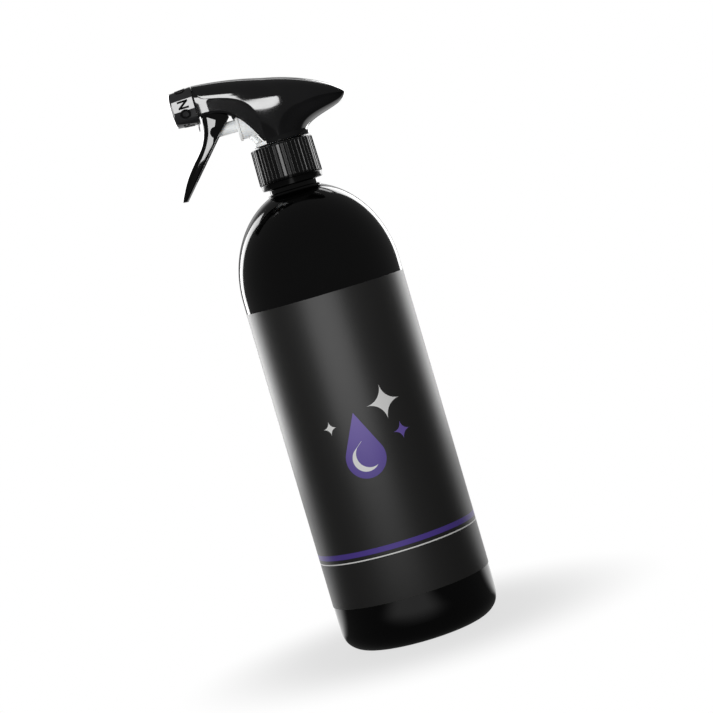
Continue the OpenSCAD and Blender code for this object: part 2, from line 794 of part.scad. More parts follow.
// One row: front and rear are [x, z], half is its half width, and fore its reach ahead of the axis
function shroud_row(front, rear, half, fore) =
    let (end = acos(front[0] / fore))
    [
        for (j = [0:row_steps])
            let (
                a = end * (2 * j / row_steps - 1),
                x = (cos(a) > 0 ? rear[0] : fore) * cos(a),
                share = (x - front[0]) / (rear[0] - front[0])
            )
            [x, half * sin(a), front[1] + (rear[1] - front[1]) * share]
    ];

// Height of the crown above the widest line of the shroud, at x; it is highest at crown_x
crown_rise = 2.1;
crown_h = nozzle_rear_d / 2 + crown_rise;
crown_x = -13;
crown_fall = crown_rise / (shroud_front_x - crown_x) ^ 2;
tail_power = 0.75;
function crown(x) =
    x < 0 ? crown_h - crown_fall * (x - crown_x) ^ 2
          : (crown_h - crown_fall * crown_x ^ 2) * max(0, 1 - (x / tail_reach) ^ 2) ^ tail_power;

// All rows of one skin of the shroud, from its foot to its ridge, set in by a wall
function shroud_skin(wall) =
    let (
        reach = tail_reach - wall,
        half = half_w - wall,
        fore_long = -shroud_front_x / sqrt(1 - ((cheek_w - wall) / half) ^ 2),
        ring = ring_r - (wall > 0 ? ring_t : 0),
        waist = waist_r - wall,
        under = [
            [reach, tail_z],
            [reach, tail_z] + [-0.5, wall - 6.6],
            [waist, waist_z] + [1.3, wall / 2 + 2.6],
            [waist, waist_z]
        ],
        edge_end = [-ring_r / 2, waist_z],
        edge = [
            [shroud_front_x, shroud_low_z],
            [shroud_front_x, shroud_low_z] + [16, 2],
            [edge_end[0] - 6.1, cyl_z],
            edge_end
        ],
        steps = 9,
        front_share = 0.2,
        low = [
            for (i = [steps:-1:0])
                let (
                    u = i / steps,
                    v = max(0, (u - front_share) / (1 - front_share)),
                    drop = front_drop * u / front_share
                )
                shroud_row(
                    u < front_share ? [shroud_front_x, barrel_z - drop] : curve(edge, v),
                    curve(under, u),
                    half + (waist - half) * u ^ 2,
                    fore_long + (waist - fore_long) * u ^ 1.5
                )
        ],
        equator = low[steps],
        upper = [
            for (t = [12, 25, 38, 51, 63, 74, 83])
                [for (p = equator) [p[0], p[1] * cos(t), p[2] + max(0, crown(p[0]) - wall) * sin(t)]]
        ],
        foot = [
            for (z = [foot_disc_z, foot_disc_z + ring_h])
                shroud_row([-ring_r / 2, z], [ring, z], ring, ring)
        ]
    )
    concat(foot, low, upper);

module shroud() {
    outer = shroud_skin(0);
    inner = shroud_skin(shroud_wall);
    rows = len(outer) - 1;
    n = row_steps + 1;
    base = len(outer) * n;
    function o(i, j) = i * n + j;
    function q(i, j) = base + i * n + j;
    function quad(a, b, c, d) = [[a, b, c], [a, c, d]];
    points = concat([for (r = outer) each r], [for (r = inner) each r]);
    faces = concat(
        [for (i = [0:rows - 1], j = [0:n - 2]) each concat(
            quad(o(i, j), o(i + 1, j), o(i + 1, j + 1), o(i, j + 1)),
            quad(q(i, j), q(i, j + 1), q(i + 1, j + 1), q(i + 1, j))
        )],
        [for (j = [0:n - 2]) each quad(o(0, j), o(0, j + 1), q(0, j + 1), q(0, j))],
        [for (i = [0:rows - 1]) each concat(
            quad(o(i, 0), q(i, 0), q(i + 1, 0), o(i + 1, 0)),
            quad(o(i, n - 1), o(i + 1, n - 1), q(i + 1, n - 1), q(i, n - 1))
        )],
        [for (j = [0:n / 2 - 1]) each concat(
            quad(o(rows, j), o(rows, n - 1 - j), o(rows, n - 2 - j), o(rows, j + 1)),
            quad(q(rows, j), q(rows, j + 1), q(rows, n - 2 - j), q(rows, n - 1 - j))
        )],
        quad(o(rows, 0), q(rows, 0), q(rows, n - 1), o(rows, n - 1))
    );
    color(black) polyhedron(points, faces, convexity = 8);
}

bottle();
label();
screw_collar();
neck_gasket();
neck_adapter();
dip_tube();
inlet_ball();
pump_body();
piston();
pressure_seal();
vent_seal();
return_spring();
trigger();
outlet_valve();
outlet_spring();
spinner();
nozzle_seal();
nozzle_cap();
orifice_insert();
shroud();
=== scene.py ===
"""Looks of a trigger spray bottle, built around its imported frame."""
import json
import math
from collections import namedtuple

import bmesh
import bpy
from bpy.props import FloatProperty, FloatVectorProperty, IntProperty, PointerProperty
from mathutils import Matrix, Vector


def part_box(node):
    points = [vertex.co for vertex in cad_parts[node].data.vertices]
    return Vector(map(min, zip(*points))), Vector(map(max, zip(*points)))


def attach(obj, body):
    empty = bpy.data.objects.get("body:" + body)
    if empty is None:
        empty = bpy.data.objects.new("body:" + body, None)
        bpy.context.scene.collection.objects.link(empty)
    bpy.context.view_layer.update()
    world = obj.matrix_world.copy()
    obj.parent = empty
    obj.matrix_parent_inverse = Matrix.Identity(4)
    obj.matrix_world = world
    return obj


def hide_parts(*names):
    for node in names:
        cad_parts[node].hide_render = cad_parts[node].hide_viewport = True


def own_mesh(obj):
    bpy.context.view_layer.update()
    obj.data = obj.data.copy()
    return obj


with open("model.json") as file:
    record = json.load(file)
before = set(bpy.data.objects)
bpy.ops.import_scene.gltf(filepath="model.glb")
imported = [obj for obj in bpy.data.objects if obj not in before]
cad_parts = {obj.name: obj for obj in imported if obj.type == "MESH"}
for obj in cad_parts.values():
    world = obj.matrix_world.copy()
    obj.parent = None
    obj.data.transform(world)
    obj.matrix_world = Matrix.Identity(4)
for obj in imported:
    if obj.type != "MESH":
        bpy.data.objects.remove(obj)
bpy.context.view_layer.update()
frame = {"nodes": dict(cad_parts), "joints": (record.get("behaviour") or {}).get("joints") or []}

bl_info = {
    "name": "Trigger Spray Bottle",
    "version": (1, 0, 0),
    "blender": (4, 5, 0),
    "location": "View3D > Sidebar > Spray Bottle",
    "description": "Builds the looks of a trigger spray bottle around its packed frame",
    "category": "Add Mesh",
}

MERGE = 1e-6
TENTH_MM = 0.0001
QUARTER = math.radians(90)
SMOOTH_ANGLE = math.radians(34)
NOISE_SPAN = (0.3, 0.7)

# Places taken from the frame
BOTTLE_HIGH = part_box("bottle")[1]
LABEL_LOW, LABEL_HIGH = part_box("label")
COLLAR_LOW, COLLAR_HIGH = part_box("screw_collar")
SHROUD_LOW, SHROUD_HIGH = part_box("shroud")
TRIGGER_LOW, TRIGGER_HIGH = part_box("trigger")
NOZZLE_LOW, NOZZLE_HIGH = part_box("nozzle_cap")
RETURN_LOW, RETURN_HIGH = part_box("return_spring")
OUTLET_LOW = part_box("outlet_spring")[0]
JOINTS = {joint["name"]: joint for joint in frame["joints"]}
PIVOT = Vector(JOINTS["trigger_pull"]["pos_m"])
BODY_R = BOTTLE_HIGH.x
RIM_Z = BOTTLE_HIGH.z
BARREL_Z = (NOZZLE_LOW.z + NOZZLE_HIGH.z) / 2
CYLINDER_Z = (RETURN_LOW.z + RETURN_HIGH.z) / 2
NOZZLE_R = (NOZZLE_HIGH.z - NOZZLE_LOW.z) / 2


def length(default, name, description):
    """A size in metres that a user may change."""
    return FloatProperty(
        name=name, description=description, default=default, min=0, unit="LENGTH", precision=5
    )


def degrees(default, name, description):
    """An angle, given in degrees, that a user may change."""
    return FloatProperty(name=name, description=description, default=math.radians(default), subtype="ANGLE")


def colour(default, name, description):
    """A colour that a user may change."""
    return FloatVectorProperty(
        name=name, description=description, default=default, size=3, min=0, max=1, subtype="COLOR"
    )


class BottleSizes(bpy.types.PropertyGroup):
    """Sizes of the blown bottle and its neck."""

    wall: length(0.0009, "Wall", "Thickness of the blown wall")
    dome_height: length(0.0456, "Dome height", "Height of the domed shoulder")
    heel_radius: length(0.0105, "Heel radius", "Rounding between the side and the foot")
    foot_width: length(0.005, "Foot width", "Width of the ring that the bottle stands on")
    push_up: length(0.005, "Push-up", "Depth of the hollow under the base")
    neck_height: length(0.0203, "Neck height", "Height of the neck above the shoulder")
    neck_radius: length(0.0119, "Neck radius", "Outside radius of the neck")
    neck_wall: length(0.0016, "Neck wall", "Wall of the neck")
    bead_out: length(0.0013, "Bead", "How far the bead stands out of the neck")
    bead_height: length(0.001, "Bead height", "Height of the bead at the foot of the neck")
    thread_pitch: length(0.0042, "Thread pitch", "Rise of the screw thread in one turn")
    thread_depth: length(0.0013, "Thread depth", "How far the thread stands out")
    seam_height: length(0.00008, "Mould seam", "Height of the mould's parting line")


class LabelLook(bpy.types.PropertyGroup):
    """Film and print of the wrap label."""

    seam_angle: degrees(1, "Seam", "Open angle between the label's ends")
    film: colour((0.016, 0.0158, 0.0155), "Film", "Ground colour of the film")
    violet_dark: colour((0.078, 0.045, 0.28), "Dark violet", "Lower end of the violet print")
    violet_light: colour((0.15, 0.098, 0.40), "Light violet", "Upper end of the violet print")
    white_ink: colour((0.78, 0.78, 0.77), "White ink", "White print")
    drop_radius: length(0.0098, "Drop radius", "Round part of the printed drop")
    drop_height: length(0.0225, "Drop height", "From the middle of the round part to the drop's tip")
    drop_z: length(0.094, "Drop place", "Height of the drop's middle above the foot")


class CollarSizes(bpy.types.PropertyGroup):
    """Ribs and skirt of the screw collar."""

    rib_count: IntProperty(name="Ribs", description="Ribs around the collar", default=48, min=12)
    rib_depth: length(0.00026, "Rib depth", "How far the thin ribs stand out")
    skirt_height: length(0.0029, "Skirt", "Height of the plain skirt under the ribs")


class HeadSizes(bpy.types.PropertyGroup):
    """Sizes of the shroud, the trigger and the nozzle."""

    wall: length(0.0012, "Shroud wall", "Wall of the hood")
    half_width: length(0.0136, "Half width", "Half of the shroud's greatest width")
    cheek_width: length(0.0094, "Cheek half width", "Half width of the shroud at its front")
    ring_radius: length(0.0152, "Foot ring", "Radius of the ring at the shroud's foot")
    ring_height: length(0.002, "Foot ring height", "Height of that ring")
    waist_radius: length(0.0143, "Waist", "Radius of the waist above that ring")
    tail_fall: length(0.0138, "Tail fall", "How far the tail's tip lies below the barrel")
    front_drop: length(0.0066, "Front drop", "From the barrel's axis to the lower corner of the front")
    cheek_step: length(0.0009, "Cheek step", "How far the cheeks lie inside the hood")
    trigger_wall: length(0.0015, "Trigger wall", "Wall of the trigger's sides")
    trigger_front: length(0.0024, "Trigger front", "Wall of the trigger's front")
    trigger_round: length(0.0026, "Trigger rounding", "Rounding along the front of the trigger")
    nozzle_skin: length(0.0015, "Nozzle skin", "Wall of the nozzle's outer skin")
    letter_height: length(0.0050, "Letter height", "Height of the raised ON and OFF")
    letter_rise: length(0.0002, "Letter rise", "How far the letters stand out")


class FinishColours(bpy.types.PropertyGroup):
    """Base colours of the materials."""

    bottle: colour((0.0035, 0.0035, 0.0037), "Bottle", "Glossy blown plastic")
    gloss: colour((0.004, 0.004, 0.0042), "Head", "High-gloss moulding")
    collar: colour((0.006, 0.006, 0.0062), "Collar", "Semi-gloss moulding")
    natural: colour((0.86, 0.87, 0.86), "Natural", "Milky uncoloured moulding")
    seal: colour((0.62, 0.63, 0.62), "Seals", "Soft pale rubber")
    rubber: colour((0.022, 0.022, 0.023), "Rubber", "Black rubber of the outlet valve")
    foam: colour((0.80, 0.80, 0.76), "Gasket", "White foam of the gasket")
    steel: colour((0.56, 0.56, 0.58), "Steel", "Bright spring wire")


class StageLook(bpy.types.PropertyGroup):
    """Place, aim and lens of the camera."""

    eye_distance: length(1.116, "Eye distance", "Distance from the bottle's axis to the camera")
    eye_height: length(0.2045, "Eye height", "Height of the camera above the foot")
    aim_x: FloatProperty(name="Aim across", description="Where the camera aims, to the side", default=0.006)
    aim_z: length(0.1394, "Aim height", "Where the camera aims, above the foot")
    lens: FloatProperty(name="Lens", description="Focal length in millimetres", default=114.8)
    roll: degrees(-16.4, "Roll", "Roll of the camera")


class SpraySettings(bpy.types.PropertyGroup):
    """All settings of the spray bottle."""

    bottle: PointerProperty(type=BottleSizes)
    label: PointerProperty(type=LabelLook)
    collar: PointerProperty(type=CollarSizes)
    head: PointerProperty(type=HeadSizes)
    finish: PointerProperty(type=FinishColours)
    stage: PointerProperty(type=StageLook)


# Curves and outlines

def bezier(points, t):
    """Point at t on the cubic curve with four control points."""
    a, b, c, d = (Vector(p) for p in points)
    s = 1 - t
    return a * s ** 3 + b * 3 * s * s * t + c * 3 * s * t * t + d * t ** 3


def last_true(test, low, high, rounds):
    """Highest value between two ends at which a test still holds, found by halving."""
    for _ in range(rounds):
        middle = (low + high) / 2
        if test(middle):
            low = middle
        else:
            high = middle
    return low


def height_at(x, curve):
    """Height of a side curve at x, where x grows along the curve."""
    return bezier(curve, last_true(lambda t: bezier(curve, t).x < x, 0.0, 1.0, 30)).y


def arc(centre, radius_a, radius_b, start, end, steps):
    """Points of an elliptic arc about a centre, angles in degrees."""
    angles = [math.radians(start + (end - start) * i / steps) for i in range(steps + 1)]
    return [(centre[0] + radius_a * math.cos(a), centre[1] + radius_b * math.sin(a)) for a in angles]


def rounded(corners, steps):
    """Closed outline through corners of (a, b, radius), each rounded to its radius."""
    outline = []
    for i, (a, b, radius) in enumerate(corners):
        here = Vector((a, b))
        if radius == 0:
            outline.append(here)
            continue
        back = (Vector(corners[i - 1][:2]) - here).normalized()
        ahead = (Vector(corners[(i + 1) % len(corners)][:2]) - here).normalized()
        half = back.angle(ahead) / 2
        centre = here + (back + ahead).normalized() * radius / math.sin(half)
        start = here + back * radius / math.tan(half) - centre
        end = here + ahead * radius / math.tan(half) - centre
        sweep = math.atan2(start.cross(end), start.dot(end))
        for k in range(steps + 1):
            outline.append(centre + Matrix.Rotation(sweep * k / steps, 2) @ start)
    return outline


def upright(outline):
    """Points over the X axis of an outline of (radius, height)."""
    return [(r, 0, z) for r, z in outline]


# Mesh helpers

def verts_in(geom):
    """The vertices among mixed mesh elements."""
    return [g for g in geom if isinstance(g, bmesh.types.BMVert)]


def edges_of(verts):
    """Edges that touch the given vertices, each once."""
    return list(dict.fromkeys(e for v in verts for e in v.link_edges))


def chain(bm, points, closed=False):
    """Vertices through points, with an edge between neighbours."""
    verts = [bm.verts.new(p) for p in points]
    pairs = list(zip(verts, verts[1:]))
    if closed:
        pairs.append((verts[-1], verts[0]))
    return verts + [bm.edges.new(pair) for pair in pairs]


def turn_round(bm, points, centre, axis, steps, closed=False):
    """Turn a line of points once round an axis."""
    geom = chain(bm, points, closed)
    bmesh.ops.spin(bm, geom=geom, cent=centre, axis=axis, angle=math.tau, steps=steps, use_merge=True)


def patch(bm, rows):
    """Grid of faces whose rows pass through the given points."""
    across = len(rows[0]) - 1
    along = len(rows) - 1
    grid = bmesh.ops.create_grid(bm, x_segments=across, y_segments=along, size=1)
    for vert in grid["verts"]:
        i = round((vert.co.x + 1) / 2 * across)
        j = round((vert.co.y + 1) / 2 * along)
        vert.co = rows[j][i]


def cap_holes(bm):
    """Fill every open ring with one face."""
    bmesh.ops.holes_fill(bm, edges=[e for e in bm.edges if e.is_boundary], sides=0)


def close_up(bm):
    """Merge doubles and point the faces outwards."""
    bmesh.ops.remove_doubles(bm, verts=bm.verts, dist=MERGE)
    bmesh.ops.recalc_face_normals(bm, faces=bm.faces)


def loft(bm, rings):
    """Closed skin through rings of points, with a flat face at each end."""
    patch(bm, [ring + ring[:1] for ring in rings])
    bmesh.ops.remove_doubles(bm, verts=bm.verts, dist=MERGE)
    cap_holes(bm)
    bmesh.ops.recalc_face_normals(bm, faces=bm.faces)


def coil(bm, start_x, end_x, axis_z, mean_radius, wire_radius, turns):
    """Wire coil along X with one closed turn at each end."""
    sides, per_turn = 10, 28
    place = Matrix.Translation((start_x + wire_radius, 0, axis_z + mean_radius))
    turn = Matrix.Rotation(QUARTER, 4, "Z") @ Matrix.Rotation(QUARTER, 4, "X")
    ring = bmesh.ops.create_circle(
        bm, cap_ends=True, segments=sides, radius=wire_radius, matrix=place @ turn
    )
    geom = ring["verts"] + edges_of(ring["verts"])
    tight = 2.1 * wire_radius
    open_pitch = (end_x - start_x - 2 * wire_radius - 2 * tight) / (turns - 2)
    for count, pitch in ((1, tight), (turns - 2, open_pitch), (1, tight)):
        spun = bmesh.ops.spin(
            bm, geom=geom, cent=(0, 0, axis_z), axis=(1, 0, 0), dvec=(pitch / per_turn, 0, 0),
            angle=math.tau * count, steps=count * per_turn
        )
        geom = [g for g in spun["geom_last"] if not isinstance(g, bmesh.types.BMFace)]
    cap_holes(bm)


def block(bm, middle, size):
    """Vertices of a new box round its middle."""
    place = Matrix.Translation(middle) @ Matrix.Diagonal((*size, 1))
    return bmesh.ops.create_cube(bm, size=1, matrix=place)["verts"]


def round_edges(bm, verts, radius):
    """Round every edge between the given vertices."""
    bmesh.ops.bevel(
        bm, geom=edges_of(verts), offset=radius, affect="EDGES", segments=3, profile=0.5, material=-1,
        clamp_overlap=True
    )


def settle(mesh):
    """Smooth shading that keeps true edges sharp."""
    mesh.polygons.foreach_set("use_smooth", [True] * len(mesh.polygons))
    mesh.set_sharp_from_angle(angle=SMOOTH_ANGLE)


def make_object(name, bm):
    """Object at the origin that holds the mesh."""
    mesh = bpy.data.meshes.new(name)
    bm.to_mesh(mesh)
    bm.free()
    piece = bpy.data.objects.new(name, mesh)
    bpy.context.scene.collection.objects.link(piece)
    return piece


def prism(name, corners, way):
    """Object made by drawing a flat face with the given corners out along a way."""
    bm = bmesh.new()
    face = bm.faces.new([bm.verts.new(corner) for corner in corners])
    grown = bmesh.ops.extrude_face_region(bm, geom=[face])
    bmesh.ops.translate(bm, verts=verts_in(grown["geom"]), vec=way)
    bmesh.ops.recalc_face_normals(bm, faces=bm.faces)
    return make_object(name, bm)


def cross_bar(name, place, radius, span, segments):
    """Round bar that lies along the Y axis of its place."""
    bm = bmesh.new()
    bmesh.ops.create_cone(
        bm, cap_ends=True, segments=segments, radius1=radius, radius2=radius, depth=span,
        matrix=place @ Matrix.Rotation(QUARTER, 4, "X")
    )
    return make_object(name, bm)


def final_mesh(thing):
    """New mesh of an object, as its modifiers or its letters make it."""
    bpy.context.view_layer.update()
    graph = bpy.context.evaluated_depsgraph_get()
    return bpy.data.meshes.new_from_object(thing.evaluated_get(graph))


def bake_modifiers(piece):
    """Put the result of a piece's modifiers into its mesh."""
    mesh = final_mesh(piece)
    piece.modifiers.clear()
    piece.data = mesh


def add_wall(piece, thickness, lip_width, lip_angle):
    """Give a skin its wall, drawn inwards, and round its lip where edges are sharper than an angle."""
    wall = piece.modifiers.new("Wall", "SOLIDIFY")
    wall.thickness = thickness
    wall.offset = -1
    wall.use_even_offset = False
    lip = piece.modifiers.new("Lip", "BEVEL")
    lip.width = lip_width
    lip.segments = 3
    lip.limit_method = "ANGLE"
    lip.angle_limit = math.radians(lip_angle)
    bake_modifiers(piece)


def cut_away(piece, cutter):
    """Take the cutter's shape out of a piece."""
    boolean = piece.modifiers.new("Cut", "BOOLEAN")
    boolean.operation = "DIFFERENCE"
    boolean.solver = "EXACT"
    boolean.object = cutter
    bake_modifiers(piece)
    bpy.data.objects.remove(cutter)


def keep_flats(piece):
    """Weigh the normals by face area, so that flats beside roundings stay flat."""
    settle(piece.data)
    weigh = piece.modifiers.new("Flats", "WEIGHTED_NORMAL")
    weigh.mode = "FACE_AREA"
    weigh.weight = 90
    weigh.keep_sharp = True
    bake_modifiers(piece)


def hand_over(piece, material, body, slot, *nodes):
    """Give a piece its material and its body, and hide the nodes that it stands for."""
    piece.data.materials.clear()
    piece.data.materials.append(material)
    if not piece.data.has_custom_normals:
        settle(piece.data)
    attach(piece, body)
    if nodes:
        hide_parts(*nodes)


# Material helpers

class NodeBoard:
    """Short ways to add and link the nodes of one material or world."""

    def __init__(self, tree):
        self.tree = tree

    def feed(self, socket, value):
        if isinstance(value, bpy.types.NodeSocket):
            self.tree.links.new(value, socket)
        elif socket.type == "RGBA":
            socket.default_value = (*value, 1)
        else:
            socket.default_value = value

    def add(self, kind, inputs=None, **settings):
        node = self.tree.nodes.new(kind)
        for key, value in settings.items():
            setattr(node, key, value)
        for key, value in (inputs or {}).items():
            self.feed(node.inputs[key], value)
        return node

    def place(self, space="Object"):
        return self.add("ShaderNodeTexCoord").outputs[space]

    def split(self, vector):
        return self.add("ShaderNodeSeparateXYZ", {0: vector}).outputs

    def maths(self, operation, *values):
        return self.add("ShaderNodeMath", dict(enumerate(values)), operation=operation).outputs[0]

    def noise(self, vector, scale, detail, roughness=0.5):
        inputs = {"Vector": vector, "Scale": scale, "Detail": detail, "Roughness": roughness}
        return self.add("ShaderNodeTexNoise", inputs).outputs["Fac"]

    def stretch(self, vector, scale):
        return self.add("ShaderNodeMapping", {"Vector": vector, "Scale": scale}).outputs["Vector"]

    def remap(self, value, low, high, new_low, new_high, smooth=False):
        inputs = dict(enumerate((value, low, high, new_low, new_high)))
        kind = "SMOOTHSTEP" if smooth else "LINEAR"
        return self.add("ShaderNodeMapRange", inputs, interpolation_type=kind).outputs[0]

    def blend(self, factor, a, b):
        inputs = {"Factor": factor, "A": a, "B": b}
        return self.add("ShaderNodeMix", inputs, data_type="RGBA").outputs["Result"]

    def bump(self, height, strength, distance, under=None):
        inputs = {"Height": height, "Strength": strength, "Distance": distance}
        if under is not None:
            inputs["Normal"] = under
        return self.add("ShaderNodeBump", inputs).outputs["Normal"]

    def mix_shaders(self, factor, a, b):
        inputs = {0: factor, 1: a.outputs[0], 2: b.outputs[0]}
        return self.add("ShaderNodeMixShader", inputs)


def new_material(name):
    """Material with its node board, its shader and its object coordinates."""
    material = bpy.data.materials.new(name)
    material.use_nodes = True
    board = NodeBoard(material.node_tree)
    shader = material.node_tree.nodes["Principled BSDF"]
    return material, board, shader, board.place()


def tinted(board, base, pattern, dark, light):
    """A base colour that goes from darker to lighter with a pattern."""
    shades = (tuple(min(1.0, c * factor) for c in base) for factor in (dark, light))
    return board.blend(pattern, *shades)


def dress(board, shader, colours, gloss, relief):
    """Feed a shader its colours, its roughness and its relief."""
    board.feed(shader.inputs["Base Color"], colours)
    board.feed(shader.inputs["Roughness"], gloss)
    board.feed(shader.inputs["Normal"], relief)


def moulded_plastic(name, base, roughness, grain, wave_scale, wave_depth):
    """Opaque plastic with faint waves from its mould, fine dust and a little uneven gloss."""
    material, board, shader, place = new_material(name)
    cloud = board.noise(place, scale=90, detail=4)
    fine = board.noise(place, scale=2600, detail=2)
    uneven = board.remap(cloud, *NOISE_SPAN, roughness - grain, roughness + grain)
    gloss = board.maths("ADD", uneven, board.remap(fine, 0.35, 0.75, 0, grain))
    waves = board.bump(board.noise(place, wave_scale, detail=1), strength=1.0, distance=wave_depth)
    relief = board.bump(fine, strength=0.06, distance=0.000004, under=waves)
    dress(board, shader, tinted(board, base, cloud, dark=0.75, light=1.35), gloss, relief)
    shader.inputs["IOR"].default_value = 1.48
    return material


def milky_plastic(name, base):
    """Translucent uncoloured plastic with soft flow marks."""
    material, board, shader, place = new_material(name)
    flow = board.noise(board.stretch(place, (1, 1, 3)), scale=160, detail=4)
    gloss = board.remap(flow, *NOISE_SPAN, 0.28, 0.42)
    relief = board.bump(board.noise(place, scale=900, detail=2), strength=0.2, distance=0.00002)
    dress(board, shader, tinted(board, base, flow, dark=0.9, light=1.04), gloss, relief)
    shader.inputs["Subsurface Weight"].default_value = 0.45
    shader.inputs["Subsurface Radius"].default_value = (0.004, 0.0036, 0.0032)
    shader.inputs["Subsurface Scale"].default_value = 1.0
    return material


def soft_rubber(name, base):
    """Matt rubber with a fine skin and paler bloom."""
    material, board, shader, place = new_material(name)
    bloom = board.noise(place, scale=500, detail=5, roughness=0.6)
    gloss = board.remap(bloom, *NOISE_SPAN, 0.5, 0.7)
    relief = board.bump(board.noise(place, scale=4000, detail=2), strength=0.3, distance=0.00002)
    dress(board, shader, tinted(board, base, bloom, dark=0.85, light=1.3), gloss, relief)
    return material


def closed_foam(name, base):
    """Foam with small closed cells."""
    material, board, shader, place = new_material(name)
    cells = board.add("ShaderNodeTexVoronoi", {"Vector": place, "Scale": 2600}).outputs["Distance"]
    gloss = board.remap(cells, 0, 1, 0.9, 0.75)
    relief = board.bump(cells, strength=0.5, distance=0.0001)
    dress(board, shader, tinted(board, base, cells, dark=0.8, light=1.1), gloss, relief)
    return material


def drawn_steel(name, base):
    """Bright wire with fine draw marks."""
    material, board, shader, place = new_material(name)
    marks = board.noise(board.stretch(place, (6, 1, 1)), scale=2200, detail=3)
    gloss = board.remap(marks, *NOISE_SPAN, 0.16, 0.32)
    relief = board.bump(marks, strength=0.2, distance=0.00001)
    dress(board, shader, tinted(board, base, marks, dark=0.8, light=1.15), gloss, relief)
    shader.inputs["Metallic"].default_value = 1.0
    return material


def soft_edge(board, inside):
    """One inside a printed shape and zero outside, from a distance that is positive inside."""
    edge = 0.00006
    return board.remap(inside, -edge, edge, 0, 1, smooth=True)


def drop_shape(board, across, up, radius, tip):
    """Distance inside a drop with a round foot and a pointed top."""
    squares = [board.maths("MULTIPLY", value, value) for value in (across, up)]
    ball = board.maths("SUBTRACT", radius, board.maths("SQRT", board.maths("ADD", *squares)))
    slope = radius / math.sqrt(tip ** 2 - radius ** 2)
    width = board.maths("MULTIPLY", board.maths("SUBTRACT", tip, up), slope)
    cone = board.maths("SUBTRACT", width, board.maths("ABSOLUTE", across))
    above = board.maths("SUBTRACT", up, radius ** 2 / tip)
    return board.maths("MAXIMUM", ball, board.maths("MINIMUM", cone, above))


def star_shape(board, across, up, reach):
    """Distance inside a four-pointed sparkle."""
    power = 0.56
    arms = [board.maths("POWER", board.maths("ABSOLUTE", value), power) for value in (across, up)]
    return board.maths("SUBTRACT", reach, board.maths("POWER", board.maths("ADD", *arms), 1 / power))


def printed_film(name, look):
    """Satin film with a printed drop, sparkles and two bands, on a map in metres."""
    material, board, shader, place = new_material(name)
    sheet = board.split(board.add("ShaderNodeUVMap", uv_map="wrap").outputs[0])
    across, height = sheet["X"], sheet["Y"]

    def shifted(x, z):
        return board.maths("SUBTRACT", across, x), board.maths("SUBTRACT", height, z)

    grain = board.noise(board.stretch(place, (1, 1, 14)), scale=700, detail=3)
    ground = tinted(board, look.film, grain, dark=0.86, light=1.14)

    drop_x, drop_z = -0.0035, look.drop_z
    drop = drop_shape(board, *shifted(drop_x, drop_z), look.drop_radius, look.drop_height)
    fade = board.remap(height, drop_z - look.drop_radius, drop_z + look.drop_height, 0, 1)
    violet = board.blend(fade, look.violet_dark, look.violet_light)
    printed = board.blend(soft_edge(board, drop), ground, violet)

    glint_r = look.drop_radius * 0.66
    glint_tip = glint_r * 1.3
    glint_x, glint_z = drop_x + 0.0022, drop_z + 0.0016
    outer = drop_shape(board, *shifted(drop_x, drop_z), glint_r, glint_tip)
    inner = drop_shape(board, *shifted(glint_x, glint_z), glint_r, glint_tip)
    crescent = board.maths("MINIMUM", outer, board.maths("MULTIPLY", inner, -1))
    printed = board.blend(soft_edge(board, crescent), printed, look.white_ink)

    sparkles = (
        (0.0122, 0.0235, 0.0088, look.white_ink),
        (0.0172, 0.0080, 0.0046, look.violet_light),
        (-0.0165, 0.0180, 0.0036, look.white_ink),
    )
    for x, rise, reach, ink in sparkles:
        star = star_shape(board, *shifted(x, drop_z + rise), reach)
        printed = board.blend(soft_edge(board, star), printed, ink)

    bands = ((0.0500, 0.0013, violet), (0.0466, 0.0003, look.white_ink))
    for z, half, ink in bands:
        from_middle = board.maths("ABSOLUTE", board.maths("SUBTRACT", height, z))
        band = board.maths("SUBTRACT", half, from_middle)
        printed = board.blend(soft_edge(board, band), printed, ink)

    gloss = board.remap(grain, *NOISE_SPAN, 0.37, 0.43)
    dress(board, shader, printed, gloss, board.bump(grain, strength=0.25, distance=0.00002))
    shader.inputs["IOR"].default_value = 1.46
    return material


# Pieces

def bottle_side(sizes, inset, mouth):
    """Side of the bottle from the middle of its base to its shoulder, set in by a wall."""
    base_steps, heel_steps, side_steps, dome_steps = 14, 14, 24, 44
    radius = BODY_R - inset
    heel = sizes.heel_radius - inset
    foot_out = BODY_R - sizes.heel_radius
    foot_in = foot_out - sizes.foot_width
    dome_z = RIM_Z - sizes.neck_height - sizes.dome_height
    rise = sizes.dome_height / math.sqrt(1 - (mouth / radius) ** 2)
    base = [
        (foot_in * i / base_steps, inset + sizes.push_up * (1 - (i / base_steps) ** 2))
        for i in range(base_steps + 1)
    ]
    side_low = sizes.heel_radius
    side = [(radius, side_low + (dome_z - side_low) * i / side_steps) for i in range(1, side_steps)]
    dome_end = math.degrees(math.acos(mouth / radius))
    return (
        base + arc((foot_out, sizes.heel_radius), heel, heel, -90, 0, heel_steps) + side
        + arc((0, dome_z), radius, rise, 0, dome_end, dome_steps)
    )


